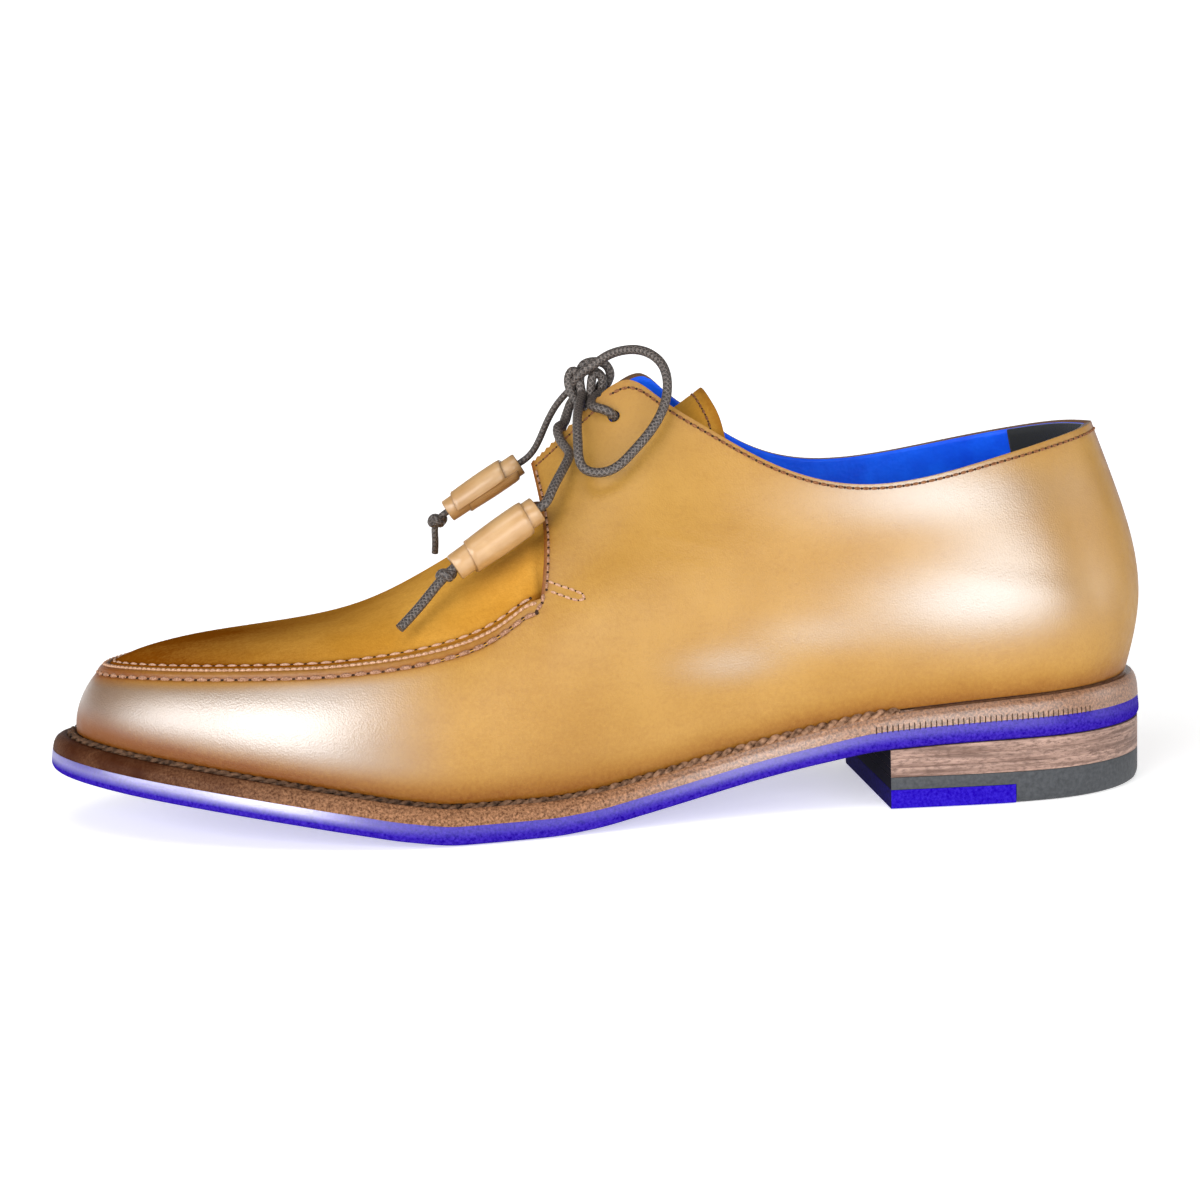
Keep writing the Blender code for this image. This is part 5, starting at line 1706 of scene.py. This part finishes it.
# Painted shade in the groove: (amount, half width, offset), what its width gains at the toe, and its loss
# behind
GROOVE_PAINTED_SHADE = (0.95, 1.3, 1.0)
GROOVE_TOE_WIDTH = 1.2
GROOVE_HEEL_LOSS = 0.5
# Burnish everywhere, on the rand, and at the toe on the edge and inside it
WORN = 0.06
WORN_RAND = 0.12
WORN_TOE = (1.3, 1.0)
# Wax everywhere, on the rand, and on the edge under the arch: (amount, half width, share)
WELT_WAX = 0.02
RAND_WAX = 0.45
ARCH_GLINT = (0.6, 0.09, 0.62)
BURNISH_MOST = 1.25


def build_welt():
    """Welt ring with a groove for its seam, which fades out at the heel."""
    spread = np.linspace(0, 1, WELT_STATIONS + 1)
    spread = (spread + (1 - np.cos(np.pi * spread)) / 2) / 2
    rounds = [(-1, share) for share in spread] + [(1, share) for share in spread[-2:0:-1]]
    points, values = [], []
    for side, share in rounds:
        point, normal = feather(side, share)
        reach = float(welt_reach(share))
        fade = smooth_step(*GROOVE_FADE, share)
        front = fading(share, 1.0, *DARK_TOE)
        amount, width, middle = GROOVE_PAINTED_SHADE
        for out, offset, rise in WELT_SECTION:
            if not out and offset > 0.2:
                rise = rise + (GROOVE_FILLED - rise) * fade
            scale = reach / WELT_FULL_REACH if out or offset > 0 else 1.0
            plan = point + normal * (out * reach + offset * scale)
            low = outsole_top(plan[0]) + WELT_JOIN
            points.append((*plan, low + rise * (welt_top(plan[0]) - low)))
            groove_shade = ridge(offset, amount * (1 - out), width + GROOVE_TOE_WIDTH * front, middle)
            worn = WORN + WORN_RAND * fade + front * WORN_TOE[int(out)]
            wax = WELT_WAX + RAND_WAX * fade + out * ridge(share, *ARCH_GLINT)
            values.append((groove_shade * (1 - GROOVE_HEEL_LOSS * fade) + worn, wax))
    starts = list(range(0, len(points), len(WELT_SECTION)))
    faces = band_faces(starts + starts[:1], len(WELT_SECTION))
    burnish, polish = np.clip(values, 0, BURNISH_MOST).T
    piece = new_piece("welt_strip", np.array(points), faces, [WELT], "welt_leather", ["welt"],
                      {"burnish": burnish, "polish": polish})
    turn_outward(piece)


ROPE_END = 0.735
ROPE_PLACE = 1.25
ROPE_DEPTH = 0.55
ROPE_PITCH = 6.4
ROPE_STRAND = 0.66
ROPE_OFFSET = 0.56
ROPE_SIDES = 8
ROPE_TURN_STEPS = 16
# The rope grows by this share towards the heel, between these along values
ROPE_GROWTH = 0.28
ROPE_GROWS = (105.0, 165.0)


def rim_line(side, share, distance, height_of, drop=0.0):
    """Points at a distance beyond the feather line and below a height, and the ways out from them."""
    point, normal = feather(side, share)
    plan = point + normal * distance[:, None]
    return with_height(plan, height_of(plan[:, 0]) - drop), with_height(normal, 0 * share)


def build_welt_rope():
    """Thick seam that lies in the welt's groove like a twisted rope."""
    def groove_line(side, share, place_of):
        return rim_line(side, share, place_of * welt_reach(share) / WELT_FULL_REACH, welt_top, ROPE_DEPTH)

    line, ways = both_sides(groove_line, np.linspace(0, ROPE_END, 900), ROPE_PLACE)
    path, out = resampled(line, ways, ROPE_PITCH / ROPE_TURN_STEPS)
    up = unit(np.cross(unit(np.gradient(path, axis=0)), out))
    turn = np.arange(len(path)) * 2 * np.pi / ROPE_TURN_STEPS
    size = 1 + ROPE_GROWTH * (1 - smooth_step(*ROPE_GROWS, path[:, 0]))
    strands = []
    for start in (0, np.pi):
        offset = np.cos(turn + start)[:, None] * out + np.sin(turn + start)[:, None] * up
        strands.append(sweep(path + ROPE_OFFSET * size[:, None] * offset, ROPE_STRAND * size, ROPE_SIDES))
    new_piece("welt_stitches", *join_parts(strands), [WELT_THREAD], "welt_leather")


WHEEL_PITCH = 1.45
WHEEL_SHARES = (0.715, 0.895)
# One mark from its foot: (height, inset from the edge, radius)
WHEEL_MARK = ((-0.3, 0.30, 0.08), (0.0, 0.28, 0.17), (1.3, 0.36, 0.17), (1.7, 0.44, 0.08))


def build_wheel_marks():
    """Row of small upright marks pressed into the rand above the sole, round the heel's sides."""
    share = np.linspace(*WHEEL_SHARES, 400)
    radii = np.array([radius for _, _, radius in WHEEL_MARK])
    marks = []
    for side in (-1, 1):
        line, ways = resampled(*rim_line(side, share, welt_reach(share), outsole_top), WHEEL_PITCH)
        for base, out in zip(line, ways):
            path = np.stack([base + (0.0, 0.0, height) - out * inset for height, inset, _ in WHEEL_MARK])
            marks.append(sweep(path, radii, STITCH_SIDES))
    # The marks take the needle holes' dark colour, painted shade in the pressed grooves.
    new_piece("rand_wheel_marks", *join_parts(marks), [HOLE_SHADE], "welt_leather")


build_sole()
build_welt()
build_welt_rope()
build_wheel_marks()
